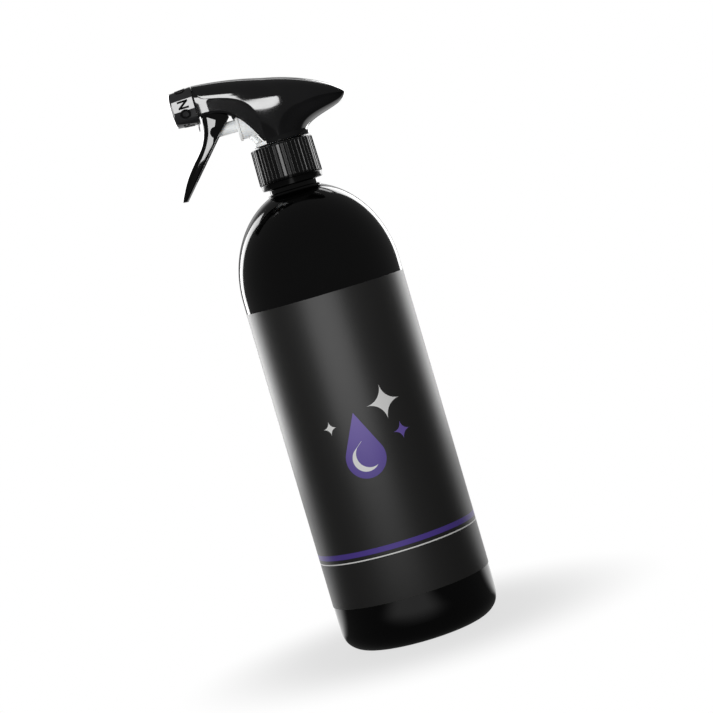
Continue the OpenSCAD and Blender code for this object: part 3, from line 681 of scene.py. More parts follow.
class SPRAY_OT_bottle(bpy.types.Operator):
    """Blown bottle with its neck thread, hollow base and mould seam"""

    bl_idname = "spray.bottle"
    bl_label = "Bottle"

    def execute(self, context):
        settings = context.scene.spray_bottle
        sizes = settings.bottle
        steps, edge, edge_steps = 192, 0.0004, 4
        shoulder_z = RIM_Z - sizes.neck_height
        bead_r = sizes.neck_radius + sizes.bead_out
        bead_top = shoulder_z + sizes.bead_height
        bore_r = sizes.neck_radius - sizes.neck_wall
        bead = arc((bead_r - edge, bead_top - edge), edge, edge, 0, 90, edge_steps)
        root = arc((sizes.neck_radius + edge, bead_top + edge), edge, edge, 270, 180, edge_steps)
        rim = arc((sizes.neck_radius - edge, RIM_Z - edge), edge, edge, 0, 90, edge_steps)
        mouth = [(bore_r, RIM_Z)]
        outer = bottle_side(sizes, 0, bead_r) + bead + root + rim + mouth
        inner = bottle_side(sizes, sizes.wall, bore_r) + mouth
        bm = bmesh.new()
        turn_round(bm, upright(outer), (0, 0, 0), (0, 0, 1), steps)
        for vert in bm.verts:
            away = math.hypot(vert.co.x, vert.co.y)
            on_seam = abs(vert.co.y) < MERGE and away > bore_r and vert.co.z < shoulder_z
            if on_seam:
                vert.co.x *= 1 + sizes.seam_height / away
        turn_round(bm, upright(inner), (0, 0, 0), (0, 0, 1), steps)
        self.add_thread(bm, sizes)
        close_up(bm)
        piece = make_object("bottle_body", bm)
        material = moulded_plastic(
            "bottle_gloss", settings.finish.bottle, roughness=0.075, grain=0.012, wave_scale=28,
            wave_depth=0.00012
        )
        hand_over(piece, material, "bottle", "bottle_pet", "bottle")
        return {"FINISHED"}

    def add_thread(self, bm, sizes):
        """One and a half turns of thread, with ends that run out into the neck."""
        turns, per_turn = 1.5, 64
        below_rim, bury, crest_round = 0.0026, 0.0003, 0.0003
        start_z = RIM_Z - below_rim - turns * sizes.thread_pitch
        root = sizes.neck_radius - bury
        crest = sizes.neck_radius + sizes.thread_depth
        half_root = sizes.thread_pitch * 0.24
        half_crest = sizes.thread_pitch * 0.11
        section = rounded((
            (root, start_z - half_root, 0),
            (crest, start_z - half_crest, crest_round),
            (crest, start_z + half_crest, crest_round),
            (root, start_z + half_root, 0),
        ), 3)
        first = chain(bm, upright(section), closed=True)
        spun = bmesh.ops.spin(
            bm, geom=first, cent=(0, 0, 0), axis=(0, 0, 1), dvec=(0, 0, sizes.thread_pitch / per_turn),
            angle=math.tau * turns, steps=int(turns * per_turn)
        )
        for ring in (verts_in(first), verts_in(spun["geom_last"])):
            bm.faces.new(ring)
            for vert in ring:
                shrink = root / math.hypot(vert.co.x, vert.co.y)
                vert.co.x *= shrink
                vert.co.y *= shrink


class SPRAY_OT_label(bpy.types.Operator):
    """Printed wrap label with a butt seam at the back"""

    bl_idname = "spray.label"
    bl_label = "Label"

    def execute(self, context):
        look = context.scene.spray_bottle.label
        steps, gap, corner = 240, 0.00005, 0.00005
        inside, outside = BODY_R + gap, LABEL_HIGH.y
        section = rounded((
            (inside, LABEL_LOW.z, 0),
            (outside, LABEL_LOW.z, corner),
            (outside, LABEL_HIGH.z, corner),
            (inside, LABEL_HIGH.z, 0),
        ), 3)
        rings = []
        for k in range(steps + 1):
            turn = math.pi / 2 + look.seam_angle / 2 + (math.tau - look.seam_angle) * k / steps
            around = Vector((math.cos(turn), math.sin(turn)))
            rings.append([(around.x * r, around.y * r, z) for r, z in section])
        bm = bmesh.new()
        loft(bm, rings)
        wrap = bm.loops.layers.uv.new("wrap")
        for face in bm.faces:
            for loop in face.loops:
                co = loop.vert.co
                loop[wrap].uv = (math.atan2(co.x, -co.y) * outside, co.z)
        piece = make_object("wrap_label", bm)
        hand_over(piece, printed_film("satin_print", look), "bottle", "label_film", "label")
        return {"FINISHED"}


class SPRAY_OT_collar(bpy.types.Operator):
    """Screw collar with thin ribs above a plain skirt"""

    bl_idname = "spray.collar"
    bl_label = "Collar"

    def execute(self, context):
        settings = context.scene.spray_bottle
        sizes = settings.collar
        rib_sharpness, per_rib = 14, 20
        segments = sizes.rib_count * per_rib
        rows = []
        for radius, z, share in self.levels(sizes, settings.bottle):
            row = []
            for k in range(segments + 1):
                turn = math.tau * k / segments
                ridge = (0.5 - 0.5 * math.cos(turn * sizes.rib_count)) ** rib_sharpness
                r = radius - share * sizes.rib_depth * (1 - ridge)
                row.append((r * math.cos(turn), r * math.sin(turn), z))
            rows.append(row)
        bm = bmesh.new()
        patch(bm, rows)
        close_up(bm)
        piece = make_object("ribbed_collar", bm)
        material = moulded_plastic(
            "collar_satin", settings.finish.collar, roughness=0.15, grain=0.03, wave_scale=60,
            wave_depth=0.00003
        )
        hand_over(piece, material, "collar", "collar_black", "screw_collar")
        return {"FINISHED"}

    def levels(self, sizes, neck):
        """Outline of the collar as (radius, height, share of the ribs' depth)."""
        edge, cap = 4 * TENTH_MM, 13 * TENTH_MM
        bore = neck.neck_radius + neck.thread_depth + edge
        hole = neck.neck_radius - 18 * TENTH_MM
        low = COLLAR_HIGH.x - 3 * TENTH_MM
        top = low - 3 * TENTH_MM
        skirt = low - 5 * TENTH_MM
        low_z, high_z = COLLAR_LOW.z, COLLAR_HIGH.z
        rib_z = low_z + sizes.skirt_height
        rib_steps = 12

        def near(radius, z, *steps):
            return [(radius + out * TENTH_MM, z + up * TENTH_MM, share) for out, up, share in steps]

        def rib_level(along):
            return low + (top - low) * along, rib_z + edge + (high_z - rib_z - 3 * edge) * along, 1

        return (
            [(bore, low_z, 0)]
            + near(skirt, low_z, (-7, 0, 0), (-4, 1, 0), (-3, 4, 0))
            + near(skirt, rib_z, (0, -3, 0), (2, -0.8, 0), (5, 0, 0))
            + near(low, rib_z, (-4, 0, 0.5), (-1, 1, 0.9))
            + [rib_level(i / rib_steps) for i in range(rib_steps + 1)]
            + near(top, high_z, (-1.2, -4, 0.7), (-4, -1.2, 0.3), (-8, 0, 0))
            + near(hole, high_z, (26, 0, 0), (25, 7, 0), (23, 9, 0), (0, 9, 0))
            + [(hole, high_z - cap, 0), (bore, high_z - cap, 0), (bore, low_z, 0)]
        )


Row = namedtuple("Row", "front rear half fore tilt")


def crown(x):
    """Height of the shroud's roof above its widest line."""
    rise, top_x, tail_power = 0.0014, -0.013, 0.7
    top = NOZZLE_R + rise
    fall = rise / (SHROUD_LOW.x - top_x) ** 2
    if x < 0:
        return top - fall * (x - top_x) ** 2
    tail = max(0.0, 1 - (x / SHROUD_HIGH.x) ** 2)
    return (top - fall * top_x ** 2) * tail ** tail_power


def waist_z(head):
    """Height of the shroud's waist, just above its foot ring."""
    rise = 0.0004
    return SHROUD_LOW.z + head.ring_height + rise


def front_reach(head):
    """Reach in front of the ellipse that the shroud's sides follow, seen from above."""
    return -SHROUD_LOW.x / math.sqrt(1 - (head.cheek_width / head.half_width) ** 2)


def front_edge(head):
    """Control points of the shroud's lower front edge, seen from the side."""
    corner = Vector((SHROUD_LOW.x, BARREL_Z - head.front_drop))
    end = Vector((-head.ring_radius / 2, waist_z(head)))
    return corner, corner + Vector((0.016, 0.002)), Vector((end.x - 0.0061, CYLINDER_Z)), end


def hood_edge(x):
    """Height of the hood's lower edge at x, seen from the side."""
    start = Vector((SHROUD_LOW.x + 0.0004, BARREL_Z + 0.0070))
    knee = Vector((-0.0292, BARREL_Z + 0.0011))
    low = Vector((-0.0072, BARREL_Z - 0.0149))
    if x < knee.x:
        return height_at(x, (start, start + Vector((0.001, -0.0034)), knee + Vector((-0.0026, 0.0007)), knee))
    return height_at(x, (knee, knee + Vector((0.0097, -0.0023)), low + Vector((-0.0026, 0.0125)), low))


def shroud_rows(head):
    """Rows of the shroud's skin from its foot to its ridge."""
    low_steps, upper_steps, front_share = 44, 36, 0.2
    skirt_drop, chamfer_start, chamfer_fall = 0.00015, 0.25, 0.00245
    half, waist, fore = head.half_width, head.waist_radius, front_reach(head)
    flank = waist - 0.0014
    tail = Vector((SHROUD_HIGH.x, BARREL_Z - head.tail_fall))
    foot = Vector((waist, waist_z(head)))
    under = (tail, tail + Vector((-0.0005, -0.0065)), foot + Vector((0.005, 0.006)), foot)
    edge = front_edge(head)
    rows = []
    for lift, spread in ((0, 0.82), (chamfer_start, 0.9), (0.8, 1), (1, 0.12)):
        z = SHROUD_LOW.z - skirt_drop + (head.ring_height + skirt_drop) * lift
        ring = waist + (head.ring_radius - waist) * spread
        side = min(ring, head.ring_radius - chamfer_fall * (lift - chamfer_start))
        rows.append(Row(Vector((edge[-1].x, z)), Vector((ring, z)), side, ring, 0))
    for i in range(low_steps, -1, -1):
        u = i / low_steps
        if u < front_share:
            front = Vector((SHROUD_LOW.x, BARREL_Z - head.front_drop * u / front_share))
        else:
            front = edge[0].lerp(edge[-1], (u - front_share) / (1 - front_share))
        side = half + (flank - half) * u ** 2
        rows.append(Row(front, bezier(under, u), side, fore + (waist - fore) * u ** 1.5, 0))
    equator = rows[-1]
    for i in range(1, upper_steps + 1):
        rows.append(equator._replace(tilt=QUARTER * i / upper_steps))
    return rows


def row_point(row, angle):
    """Point of a row at an angle from its middle at the back."""
    reach = row.rear.x if math.cos(angle) > 0 else row.fore
    x = reach * math.cos(angle)
    share = (x - row.front.x) / (row.rear.x - row.front.x)
    z = row.front.y + (row.rear.y - row.front.y) * share
    rise = max(0.0, crown(x)) * math.sin(row.tilt)
    return Vector((x, row.half * math.sin(angle) * math.cos(row.tilt), z + rise))


def hood_angle(row):
    """Angle at which a row comes out from under the hood's edge."""
    hood_end = -0.0066

    def in_hood(angle):
        point = row_point(row, angle)
        return point.x >= hood_end or point.z >= hood_edge(point.x)

    return last_true(in_hood, 0.0, math.acos(max(-1.0, row.front.x / row.fore)), 40)


def cheek_skin(head, x, z):
    """Half width of the skin one step inside the hood, at a place seen from the side."""
    step = head.cheek_step
    level = BARREL_Z - head.tail_fall * (x - SHROUD_LOW.x) / (SHROUD_HIGH.x - SHROUD_LOW.x)
    half = (head.half_width - step) * math.sqrt(1 - (x / front_reach(head)) ** 2)
    if z > level:
        rise = min(1.0, (z - level) / (crown(x) - step))
        return half * math.sqrt(1 - rise ** 2)
    waist = math.sqrt(max(0.0, (head.waist_radius - step) ** 2 - x ** 2))
    waist = max(waist, 0.9 * half)
    share = (level - z) / (level - waist_z(head))
    return half + (waist - half) * share ** 2


class SPRAY_OT_shroud(bpy.types.Operator):
    """Teardrop hood over the pump, and the two cheeks set in below its edge"""

    bl_idname = "spray.shroud"
    bl_label = "Shroud"

    def execute(self, context):
        settings = context.scene.spray_bottle
        material = moulded_plastic(
            "head_gloss", settings.finish.gloss, roughness=0.06, grain=0.01, wave_scale=45,
            wave_depth=0.00001
        )
        self.hood(settings.head, material)
        self.cheeks(settings.head, material)
        return {"FINISHED"}

    def hood(self, head, material):
        """Glossy skin down to the hood's edge, with its wall."""
        across = 150
        rows = []
        for row in shroud_rows(head):
            end = hood_angle(row)
            rows.append([row_point(row, end * (2 * k / across - 1)) for k in range(across + 1)])
        bm = bmesh.new()
        patch(bm, rows)
        close_up(bm)
        piece = make_object("shroud_hood", bm)
        add_wall(piece, head.wall, lip_width=0.0003, lip_angle=82)
        hand_over(piece, material, "head", "gloss_black", "shroud")

    def cheeks(self, head, material):
        """Both cheeks, from their lower edge to just under the hood, with a hook inside each."""
        columns, steps, tuck = 80, 40, 0.0009
        last_x = -head.ring_radius / 2 + 0.002
        bm = bmesh.new()
        for side in (-1, 1):
            rows = []
            for i in range(columns + 1):
                x = SHROUD_LOW.x + (last_x - SHROUD_LOW.x) * i / columns
                low = height_at(x, front_edge(head))
                high = hood_edge(x) + tuck
                row = []
                for k in range(steps + 1):
                    z = low + (high - low) * k / steps
                    row.append((x, side * self.cheek_half(head, x, z, low), z))
                rows.append(row)
            patch(bm, rows)
        close_up(bm)
        piece = make_object("shroud_cheeks", bm)
        add_wall(piece, head.cheek_step, lip_width=0.00025, lip_angle=55)
        bm = bmesh.new()
        bm.from_mesh(piece.data)
        for side in (-1, 1):
            self.add_hook(bm, side)
        bm.to_mesh(piece.data)
        bm.free()
        hand_over(piece, material, "head", "gloss_black")

    def cheek_half(self, head, x, z, low):
        """Half width of a cheek: nearly flat behind its front, and rolled in along its lower edge."""
        proud, spread, blend = 0.0002, 0.05, 0.0002
        roll_height, roll_depth = 0.0012, 0.0003
        side = cheek_skin(head, x, z)
        flat = head.cheek_width + proud + spread * (x - SHROUD_LOW.x)
        gap = max(0.0, blend - abs(side - flat)) / blend
        roll = max(0.0, 1 - (z - low) / roll_height)
        return min(side, flat) - gap ** 2 * blend / 4 - roll_depth * roll ** 2

    def add_hook(self, bm, side):
        """Snap hook that hangs inside a cheek behind the trigger."""
        size, lean, rounding = (0.0018, 0.0011, 0.006), 0.0004, 0.0003
        middle = Vector((-0.0188, side * 0.0092, BARREL_Z - 0.0091))
        verts = block(bm, middle, size)
        for vert in verts:
            if vert.co.z < middle.z:
                vert.co.x += lean
        round_edges(bm, verts, rounding)


class SPRAY_OT_trigger(bpy.types.Operator):
    """Hollow trigger lever with a rounded front and two ears on the pivot"""

    bl_idname = "spray.trigger"
    bl_label = "Trigger"

    def execute(self, context):
        head = context.scene.spray_bottle.head
        steps, ear_steps, bore = 44, 12, 0.00185
        half = TRIGGER_HIGH.y
        ear = TRIGGER_HIGH.z - PIVOT.z
        pivot = Vector((PIVOT.x, PIVOT.z))
        top = pivot + Vector((-0.0040, -0.0073))
        tip = Vector((TRIGGER_LOW.x, TRIGGER_LOW.z + 0.0009))
        toe = tip + Vector((0.0022, -0.0002))
        heel = Vector((TRIGGER_HIGH.x, PIVOT.z - 0.0096))
        curve = (top, top + Vector((-0.0018, -0.019)), tip + Vector((0.0088, 0.021)), tip)
        front = [bezier(curve, 1 - i / steps) for i in range(steps + 1)]
        rear = [toe.lerp(heel, i / steps) for i in range(steps + 1)]
        ear_front = [Vector(p) for p in arc(pivot, ear, ear, 180, 98, ear_steps)]
        ear_rear = [Vector(p) for p in arc(pivot, ear, ear, 0, 82, ear_steps)]
        piece = self.lever(head, half, front + ear_front, rear + ear_rear, len(front))
        cut_away(piece, self.hollow(head, half - head.trigger_wall, ear, front, heel.x))
        cut_away(piece, cross_bar("bore", Matrix.Translation(PIVOT), bore, 4 * half, 48))
        for side in (-1, 1):
            cut_away(piece, self.rear_panel(side, half))
            cut_away(piece, self.thumb_dish(side, half))
        keep_flats(piece)
        hand_over(piece, bpy.data.materials["head_gloss"], "trigger", "gloss_black", "trigger")
        return {"FINISHED"}

    def lever(self, head, half, front, rear, lever_count):
        """Solid lever through rounded sections between its front and its rear, slimmer to its tip."""
        ear_round, rear_round = 0.0004, 0.0011
        slim, taper_count, taper_power = 0.0011, 0.46 * lever_count, 1.5
        rings = []
        for i, (a, b) in enumerate(zip(front, rear)):
            across = (b - a).normalized()
            depth = (b - a).length
            fore, back = (head.trigger_round, rear_round) if i < lever_count else (ear_round, ear_round)
            fore, back = min(fore, 0.5 * depth), min(back, 0.3 * depth)
            wide = half - slim * max(0.0, 1 - i / taper_count) ** taper_power
            corners = ((0, -wide, fore), (depth, -wide, back), (depth, wide, back), (0, wide, fore))
            rings.append([(a.x + across.x * u, v, a.y + across.y * u) for u, v in rounded(corners, 8)])
        bm = bmesh.new()
        loft(bm, rings)
        return make_object("trigger_lever", bm)

    def hollow(self, head, inner, ear, front, heel_x):
        """Cutter for the space between the sides, which leaves the front and the piston's pad."""
        spare, front_low, floor_up = 0.002, 0.009, 0.006
        shelf_front, shelf_rear = PIVOT.z - 0.0062, PIVOT.z - 0.0085
        tip = front[0]
        pad_x, pad_low = PIVOT.x - 0.001, CYLINDER_Z - 0.0036
        near, far = PIVOT.x - ear - 2 * spare, heel_x + spare
        high = PIVOT.z + ear + spare
        walls = [p + Vector((head.trigger_front, 0)) for p in reversed(front)]
        outline = [p for p in walls if tip.y + front_low < p.y < pad_low]
        outline += [
            Vector((tip.x + 5 * head.trigger_front, tip.y + floor_up)),
            Vector((far, tip.y + floor_up)), Vector((far, high)), Vector((near, high)),
            Vector((near, shelf_front)), Vector((pad_x, shelf_rear)), Vector((pad_x, pad_low)),
        ]
        return prism("hollow", [(p.x, -inner, p.y) for p in outline], (0, 2 * inner, 0))

    def rear_panel(self, side, half):
        """Cutter for the upper rear of one side of the trigger, which slants inwards to the rear."""
        left, right, low, high = -0.0050, 0.016, -0.0235, 0.009
        outline = (
            (left, -0.0052), (0.0022, -0.0100), (-0.0035, low), (right, low), (right, high), (left, high)
        )
        sink, slant, reach = 0.00012, 0.08, 0.004
        corners = []
        for x, z in outline:
            depth = sink + slant * max(0.0, x - left)
            corners.append((PIVOT.x + x, side * (half - depth), PIVOT.z + z))
        return prism("panel", corners, (0, side * reach, 0))

    def thumb_dish(self, side, half):
        """Round cutter for the shallow slanted recess in one side of the trigger."""
        radius, height, sink = 0.0029, 0.004, 0.0006
        place = PIVOT + Vector((0.0009, side * (half + height / 2 - sink), -0.0158))
        slant = Matrix.Rotation(side * math.radians(-6), 4, "Z")
        return cross_bar("dish", Matrix.Translation(place) @ slant, radius, height, 64)


class SPRAY_OT_nozzle(bpy.types.Operator):
    """Turning nozzle with a dished front, raised words and an index tab"""

    bl_idname = "spray.nozzle"
    bl_label = "Nozzle"

    def execute(self, context):
        settings = context.scene.spray_bottle
        skin = settings.head.nozzle_skin
        rear_x, front_x = NOZZLE_HIGH.x, NOZZLE_LOW.x + 0.0006
        rear_r, front_r = NOZZLE_R, NOZZLE_R - 0.0009
        dish_r, insert_r, socket, snap = 0.0052, 0.00245, 0.00445, 0.0004
        sleeve = socket + 0.0015
        plate_x = NOZZLE_LOW.x + 0.0022
        plate_back = plate_x + 0.0014
        socket_end = plate_x + 0.0023
        hub_x = rear_x - 0.0012
        snap_x0, snap_x1 = NOZZLE_LOW.x + 0.0065, NOZZLE_LOW.x + 0.0077
        outline = rounded((
            (rear_x, rear_r - skin, 0.0003),
            (rear_x, rear_r, 0.0004),
            (front_x, front_r, 0.0013),
            (front_x, dish_r + 0.001, 0.0004),
            (plate_x, dish_r - 0.001, 0.0006),
            (plate_x, insert_r, 0.0001),
            (socket_end, insert_r, 0),
            (socket_end, socket, 0),
            (snap_x0, socket, 0),
            (snap_x0, socket + snap, 0),
            (snap_x1, socket + snap, 0),
            (snap_x1, socket, 0),
            (hub_x, socket, 0.0002),
            (hub_x, sleeve, 0.0002),
            (plate_back, sleeve, 0.0004),
            (plate_back, front_r - skin, 0.0006),
        ), 6)
        bm = bmesh.new()
        points = [(x, 0, BARREL_Z + r) for x, r in outline]
        turn_round(bm, points, (0, 0, BARREL_Z), (1, 0, 0), 128, closed=True)
        self.add_tab(bm)
        close_up(bm)
        piece = make_object("nozzle_knob", bm)
        hand_over(piece, bpy.data.materials["head_gloss"], "nozzle", "gloss_black", "nozzle_cap")
        slope = (rear_r - front_r) / (rear_x - front_x)
        bm = bmesh.new()
        for word, turn in (("ON", 0), ("OFF", 90), ("ON", 180), ("OFF", 270)):
            letters = self.flat_word(word, settings.head)
            self.wrap_word(bm, letters, math.radians(turn), lambda x: front_r + slope * (x - front_x))
        words = make_object("nozzle_words", bm)
        hand_over(words, soft_rubber("matt_words", settings.finish.gloss), "nozzle", "gloss_black")
        return {"FINISHED"}

    def add_tab(self, bm):
        """Thin tapered tab under the rear of the nozzle."""
        size, rounding = (0.0009, 0.0024, 0.0042), 0.0002
        thinner, narrower, lean = 0.5, 0.6, -0.0004
        middle = Vector((NOZZLE_HIGH.x - 0.0011, 0, BARREL_Z - NOZZLE_R - 0.0012))
        verts = block(bm, middle, size)
        for vert in verts:
            if vert.co.z < middle.z:
                vert.co.x += (middle.x - vert.co.x) * thinner + lean
                vert.co.y *= narrower
        round_edges(bm, verts, rounding)

    def flat_word(self, word, head):
        """Mesh of a word that lies flat, cut into strips so that it can be bent."""
        size_per_height, boldness = 1.4, 0.00014
        cut_count, reach = 25, 0.006
        text = bpy.data.curves.new("word", "FONT")
        text.body = word
        text.size = head.letter_height * size_per_height
        text.align_x = "CENTER"
        text.align_y = "CENTER"
        text.extrude = head.letter_rise / 2
        text.bevel_depth = head.letter_rise / 2
        text.bevel_resolution = 2
        text.offset = boldness
        holder = bpy.data.objects.new("word", text)
        bpy.context.scene.collection.objects.link(holder)
        mesh = final_mesh(holder)
        bpy.data.objects.remove(holder)
        letters = bmesh.new()
        letters.from_mesh(mesh)
        bpy.data.meshes.remove(mesh)
        bmesh.ops.remove_doubles(letters, verts=letters.verts, dist=MERGE)
        for k in range(cut_count):
            at = reach * (2 * k / (cut_count - 1) - 1)
            geom = letters.verts[:] + letters.edges[:] + letters.faces[:]
            bmesh.ops.bisect_plane(letters, geom=geom, dist=1e-7, plane_co=(at, 0, 0), plane_no=(1, 0, 0))
        return letters

    def wrap_word(self, bm, letters, turn, radius_at):
        """Bend a flat word round the nozzle, with its letters' tops towards the front."""
        middle_x = NOZZLE_LOW.x + 0.0072
        lean, squeeze = math.radians(6.5), 0.85
        for vert in letters.verts:
            x = middle_x - vert.co.y
            radius = radius_at(x) + vert.co.z
            angle = turn - lean + squeeze * vert.co.x / radius_at(middle_x)
            vert.co = (x, -radius * math.cos(angle), BARREL_Z + radius * math.sin(angle))
        mesh = bpy.data.meshes.new("word")
        letters.to_mesh(mesh)
        letters.free()
        bm.from_mesh(mesh)
        bpy.data.meshes.remove(mesh)


class SPRAY_OT_springs(bpy.types.Operator):
    """Return spring in the piston and spring of the outlet valve"""

    bl_idname = "spray.springs"
    bl_label = "Springs"

    def execute(self, context):
        steel = drawn_steel("drawn_wire", context.scene.spray_bottle.finish.steel)
        piston_end = Vector((RETURN_HIGH.x, 0, CYLINDER_Z))
        valve_end = Vector((OUTLET_LOW.x, 0, BARREL_Z))
        self.spring("piston_spring", steel, "return_spring", "piston_slide", piston_end, 0.0003, 14)
        self.spring("valve_spring", steel, "outlet_spring", "outlet_open", valve_end, 0.000175, 7)
        return {"FINISHED"}

    def spring(self, name, steel, node, joint, fixed_end, wire, turns):
        """Coil in its node's place, with its axis at the height of its fixed end; the joint is not used."""
        low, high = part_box(node)
        bm = bmesh.new()
        coil(bm, low.x, high.x, fixed_end.z, (high.z - low.z) / 2 - wire, wire, turns)
        close_up(bm)
        piece = make_object(name, bm)
        hand_over(piece, steel, "head", "spring_steel", node)
        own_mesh(piece)


INNER_FINISHES = {
    "neck_adapter": "natural", "dip_tube": "natural", "pump_body": "natural", "piston": "natural",
    "spinner": "natural", "pressure_seal": "pale", "vent_seal": "pale", "outlet_valve": "black",
    "nozzle_seal": "black", "neck_gasket": "foam", "inlet_ball": "wire", "orifice_insert": "gloss",
}


class SPRAY_OT_inner_parts(bpy.types.Operator):
    """Finishes of the pump, its seals and its valves"""

    bl_idname = "spray.inner_parts"
    bl_label = "Inner parts"

    def execute(self, context):
        finish = context.scene.spray_bottle.finish
        finishes = {
            "natural": milky_plastic("milky_moulding", finish.natural),
            "pale": soft_rubber("pale_seal", finish.seal),
            "black": soft_rubber("black_seal", finish.rubber),
            "foam": closed_foam("cell_foam", finish.foam),
            "wire": bpy.data.materials["drawn_wire"],
            "gloss": bpy.data.materials["head_gloss"],
        }
        for node, finish_name in INNER_FINISHES.items():
            mesh = frame["nodes"][node].data
            mesh.materials.clear()
            mesh.materials.append(finishes[finish_name])
        return {"FINISHED"}


# Lamps, each a panel of even light that lights only its receivers
Lamp = namedtuple("Lamp", "name place aim size radiance receivers roll", defaults=(0,))
BODY, LABEL, COLLAR = ("bottle_body",), ("wrap_label",), ("ribbed_collar",)
HOOD, CHEEKS, LEVER, KNOB = ("shroud_hood",), ("shroud_cheeks",), ("trigger_lever",), ("nozzle_knob",)
INNER = (*INNER_FINISHES, "piston_spring", "valve_spring")
SHINY = HOOD + CHEEKS + LEVER + KNOB + ("nozzle_words",) + INNER
LAMPS = [
    Lamp("tall_box", (-0.256, -0.658, 0.571), (-0.02, -0.01, 0.278), (0.305, 0.64), 18, HOOD + CHEEKS),
    Lamp("low_strip", (-0.05, -1.0, 0.31), (-0.05, 0, 0.31), (0.315, 0.052), 20, HOOD, 8),
    Lamp("lever_card", (-0.08, -1.0, 0.316), (-0.08, 0, 0.316), (0.22, 0.058), 16, LEVER),
    Lamp("nozzle_box", (-0.14, -0.375, 0.404), (-0.04, -0.009, 0.28), (0.32, 0.56), 17, KNOB, 10),
    Lamp("nose_card", (-0.5, -0.25, 0.25), (-0.04, 0, 0.28), (0.4, 0.6), 10, KNOB),
    Lamp("satin_box", (-0.165, -0.985, 0.35), (0, 0, 0.35), (0.95, 0.7), 3.3, LABEL),
    Lamp("collar_box", (-0.165, -0.985, 0.45), (0, 0, 0.25), (0.95, 0.5), 0.8, COLLAR),
    Lamp("collar_strip", (-0.24, -0.97, 0.3625), (0, 0, 0.25), (0.3, 0.175), 6, COLLAR),
    Lamp("pump_box", (-0.35, -0.6, 0.15), (-0.01, 0, 0.26), (0.3, 0.3), 17, INNER),
    Lamp("roof_strip", (0.134, 0.76, 0.916), (0, 0, 0.28), (0.65, 0.1), 2.4, HOOD + BODY),
    Lamp("rim_0", (-0.326, 0.668, 0.36), (0, 0, 0.36), (0.29, 0.72), 5.5, SHINY),
    Lamp("rim_2", (0.326, 0.668, 0.36), (0, 0, 0.36), (0.29, 0.72), 5.5, SHINY),
    Lamp("edge_0", (-0.48, 0.57, 0.38), (0, 0, 0.38), (0.52, 0.72), 4.2, LABEL + LEVER + KNOB),
    Lamp("edge_2", (0.48, 0.57, 0.38), (0, 0, 0.38), (0.52, 0.72), 3.4, LABEL + LEVER + KNOB),
    Lamp("rib_0", (-0.58, 0.65, 0.45), (0, 0, 0.45), (0.66, 0.6), 4, COLLAR),
    Lamp("rib_2", (0.58, 0.65, 0.45), (0, 0, 0.45), (0.66, 0.6), 4, COLLAR),
    Lamp("dome_left", (-0.425, 0.606, 0.4), (0, 0, 0.4), (0.17, 0.84), 4.5, BODY, -10),
    Lamp("dome_right", (0.301, 0.676, 0.36), (0, 0, 0.36), (0.208, 0.72), 4, BODY),
]


def aimed(place, aim, roll):
    """Matrix at a place that looks along its -Z axis to an aim, rolled about that axis."""
    turn = (Vector(aim) - Vector(place)).to_track_quat("-Z", "Y").to_matrix().to_4x4()
    return Matrix.Translation(place) @ turn @ Matrix.Rotation(roll, 4, "Z")


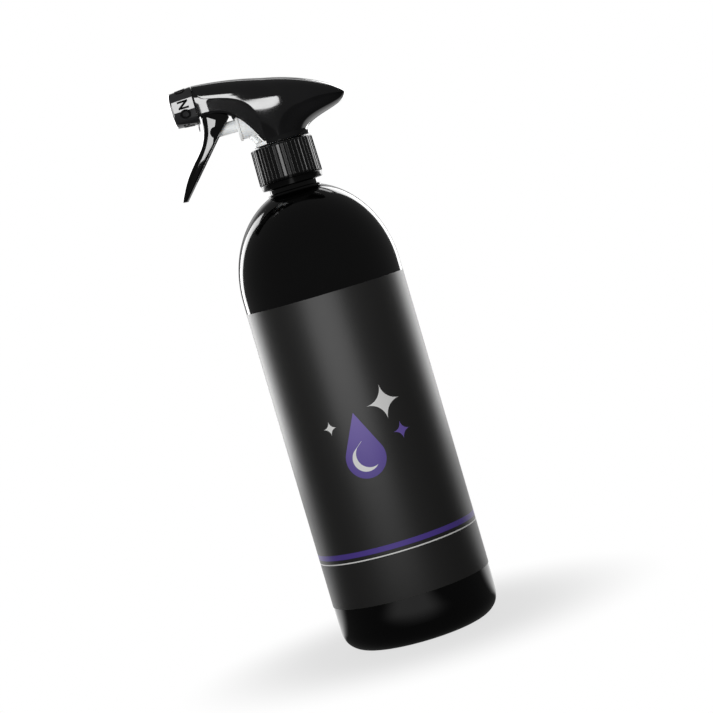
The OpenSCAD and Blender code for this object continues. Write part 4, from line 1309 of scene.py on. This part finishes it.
class SPRAY_OT_stage(bpy.types.Operator):
    """White floor, studio light and the camera"""

    bl_idname = "spray.stage"
    bl_label = "Stage"

    def execute(self, context):
        scene = context.scene
        scene.view_settings.view_transform = "Standard"
        self.camera(scene, scene.spray_bottle.stage)
        self.floor()
        self.world(scene)
        for lamp in LAMPS:
            self.light(scene, lamp)
        return {"FINISHED"}

    def camera(self, scene, look):
        """Camera that looks down a little at the bottle."""
        data = bpy.data.cameras.new("camera")
        data.lens = look.lens
        data.clip_start = 0.01
        camera = bpy.data.objects.new("camera", data)
        eye = (0, -look.eye_distance, look.eye_height)
        camera.matrix_world = aimed(eye, (look.aim_x, 0, look.aim_z), look.roll)
        scene.collection.objects.link(camera)
        scene.camera = camera

    def floor(self):
        """White floor with a soft shadow, which gloss sees as dim cards."""
        bm = bmesh.new()
        bmesh.ops.create_circle(bm, cap_ends=True, segments=96, radius=3.0)
        floor = make_object("floor", bm)
        material = bpy.data.materials.new("floor_white")
        material.use_nodes = True
        nodes = material.node_tree.nodes
        nodes.remove(nodes["Principled BSDF"])
        board = NodeBoard(material.node_tree)
        place = board.place()
        away = board.add("ShaderNodeVectorMath", {0: place}, operation="LENGTH").outputs["Value"]
        side = board.split(place)
        paths = board.add("ShaderNodeLightPath").outputs

        shadow_r, clear_r, shadow_white = 0.045, 0.13, 0.72
        far = board.remap(away, shadow_r, clear_r, shadow_white, 1, smooth=True)
        paper = board.add("ShaderNodeBsdfDiffuse", {"Color": (0.9, 0.9, 0.9)})
        white = board.add("ShaderNodeEmission")
        seen = board.mix_shaders(board.maths("MULTIPLY", far, paths["Is Camera Ray"]), paper, white)

        beside = board.maths("MAXIMUM", board.maths("ABSOLUTE", side["X"]), 0.02)
        slant = board.maths("DIVIDE", side["Y"], beside)
        behind = board.maths("MULTIPLY", board.remap(slant, 0.25, 0.75, 0.06, 1.2, smooth=True),
                             board.remap(away, 0.3, 1.3, 1, 0.12))
        from_middle = board.maths("ABSOLUTE", board.maths("ADD", side["X"], 0.017))
        card = board.maths("MULTIPLY", board.remap(from_middle, 0.04, 0.11, 0.5, 0, smooth=True),
                           board.remap(side["Y"], -0.075, -0.14, 0, 1, smooth=True))
        dim = board.add("ShaderNodeEmission", {"Strength": board.maths("ADD", behind, card)})
        mirror = board.mix_shaders(paths["Is Glossy Ray"], seen, dim)
        board.feed(nodes["Material Output"].inputs["Surface"], mirror.outputs[0])
        floor.data.materials.append(material)

    def world(self, scene):
        """World that is white to the camera, and dim with a glow behind to everything else."""
        world = bpy.data.worlds.new("studio")
        world.use_nodes = True
        scene.world = world
        board = NodeBoard(world.node_tree)
        direction = board.split(board.place("Generated"))
        dim, back_glow = 0.12, 0.78
        behind = board.remap(direction["Y"], 0.76, 1, 0, back_glow, smooth=True)
        raised = board.remap(direction["Z"], 0.08, 0.28, 0.1, 1, smooth=True)
        glow = board.maths("ADD", dim, board.maths("MULTIPLY", behind, raised))
        camera_ray = board.add("ShaderNodeLightPath").outputs["Is Camera Ray"]
        back = world.node_tree.nodes["Background"]
        board.feed(back.inputs["Strength"], board.maths("MAXIMUM", glow, camera_ray))
        board.feed(back.inputs["Color"], (1, 1, 1))

    def light(self, scene, lamp):
        """One panel of light, linked to its receivers."""
        data = bpy.data.lights.new(lamp.name, "AREA")
        data.shape = "RECTANGLE"
        width, height = lamp.size
        data.size, data.size_y = width, height
        data.energy = lamp.radiance * math.pi * width * height
        panel = bpy.data.objects.new(lamp.name, data)
        panel.matrix_world = aimed(lamp.place, lamp.aim, math.radians(lamp.roll))
        panel.visible_camera = False
        scene.collection.objects.link(panel)
        group = bpy.data.collections.new(lamp.name)
        for receiver in lamp.receivers:
            group.objects.link(bpy.data.objects[receiver])
        panel.light_linking.receiver_collection = group


class SPRAY_PT_panel(bpy.types.Panel):
    """Buttons for the pieces of the spray bottle."""

    bl_idname = "SPRAY_PT_panel"
    bl_label = "Spray Bottle"
    bl_space_type = "VIEW_3D"
    bl_region_type = "UI"
    bl_category = "Spray Bottle"

    def draw(self, context):
        for operator in OPERATORS:
            self.layout.operator(operator.bl_idname)


SETTINGS = (BottleSizes, LabelLook, CollarSizes, HeadSizes, FinishColours, StageLook, SpraySettings)
OPERATORS = (
    SPRAY_OT_bottle, SPRAY_OT_label, SPRAY_OT_collar, SPRAY_OT_shroud, SPRAY_OT_trigger, SPRAY_OT_nozzle,
    SPRAY_OT_springs, SPRAY_OT_inner_parts, SPRAY_OT_stage,
)
CLASSES = SETTINGS + OPERATORS + (SPRAY_PT_panel,)


def register():
    for cls in CLASSES:
        bpy.utils.register_class(cls)
    bpy.types.Scene.spray_bottle = PointerProperty(type=SpraySettings)


def unregister():
    del bpy.types.Scene.spray_bottle
    for cls in reversed(CLASSES):
        bpy.utils.unregister_class(cls)


def main():
    register()
    bpy.ops.spray.bottle()
    bpy.ops.spray.label()
    bpy.ops.spray.collar()
    bpy.ops.spray.shroud()
    bpy.ops.spray.trigger()
    bpy.ops.spray.nozzle()
    bpy.ops.spray.springs()
    bpy.ops.spray.inner_parts()
    bpy.ops.spray.stage()


if __name__ == "__main__":
    main()
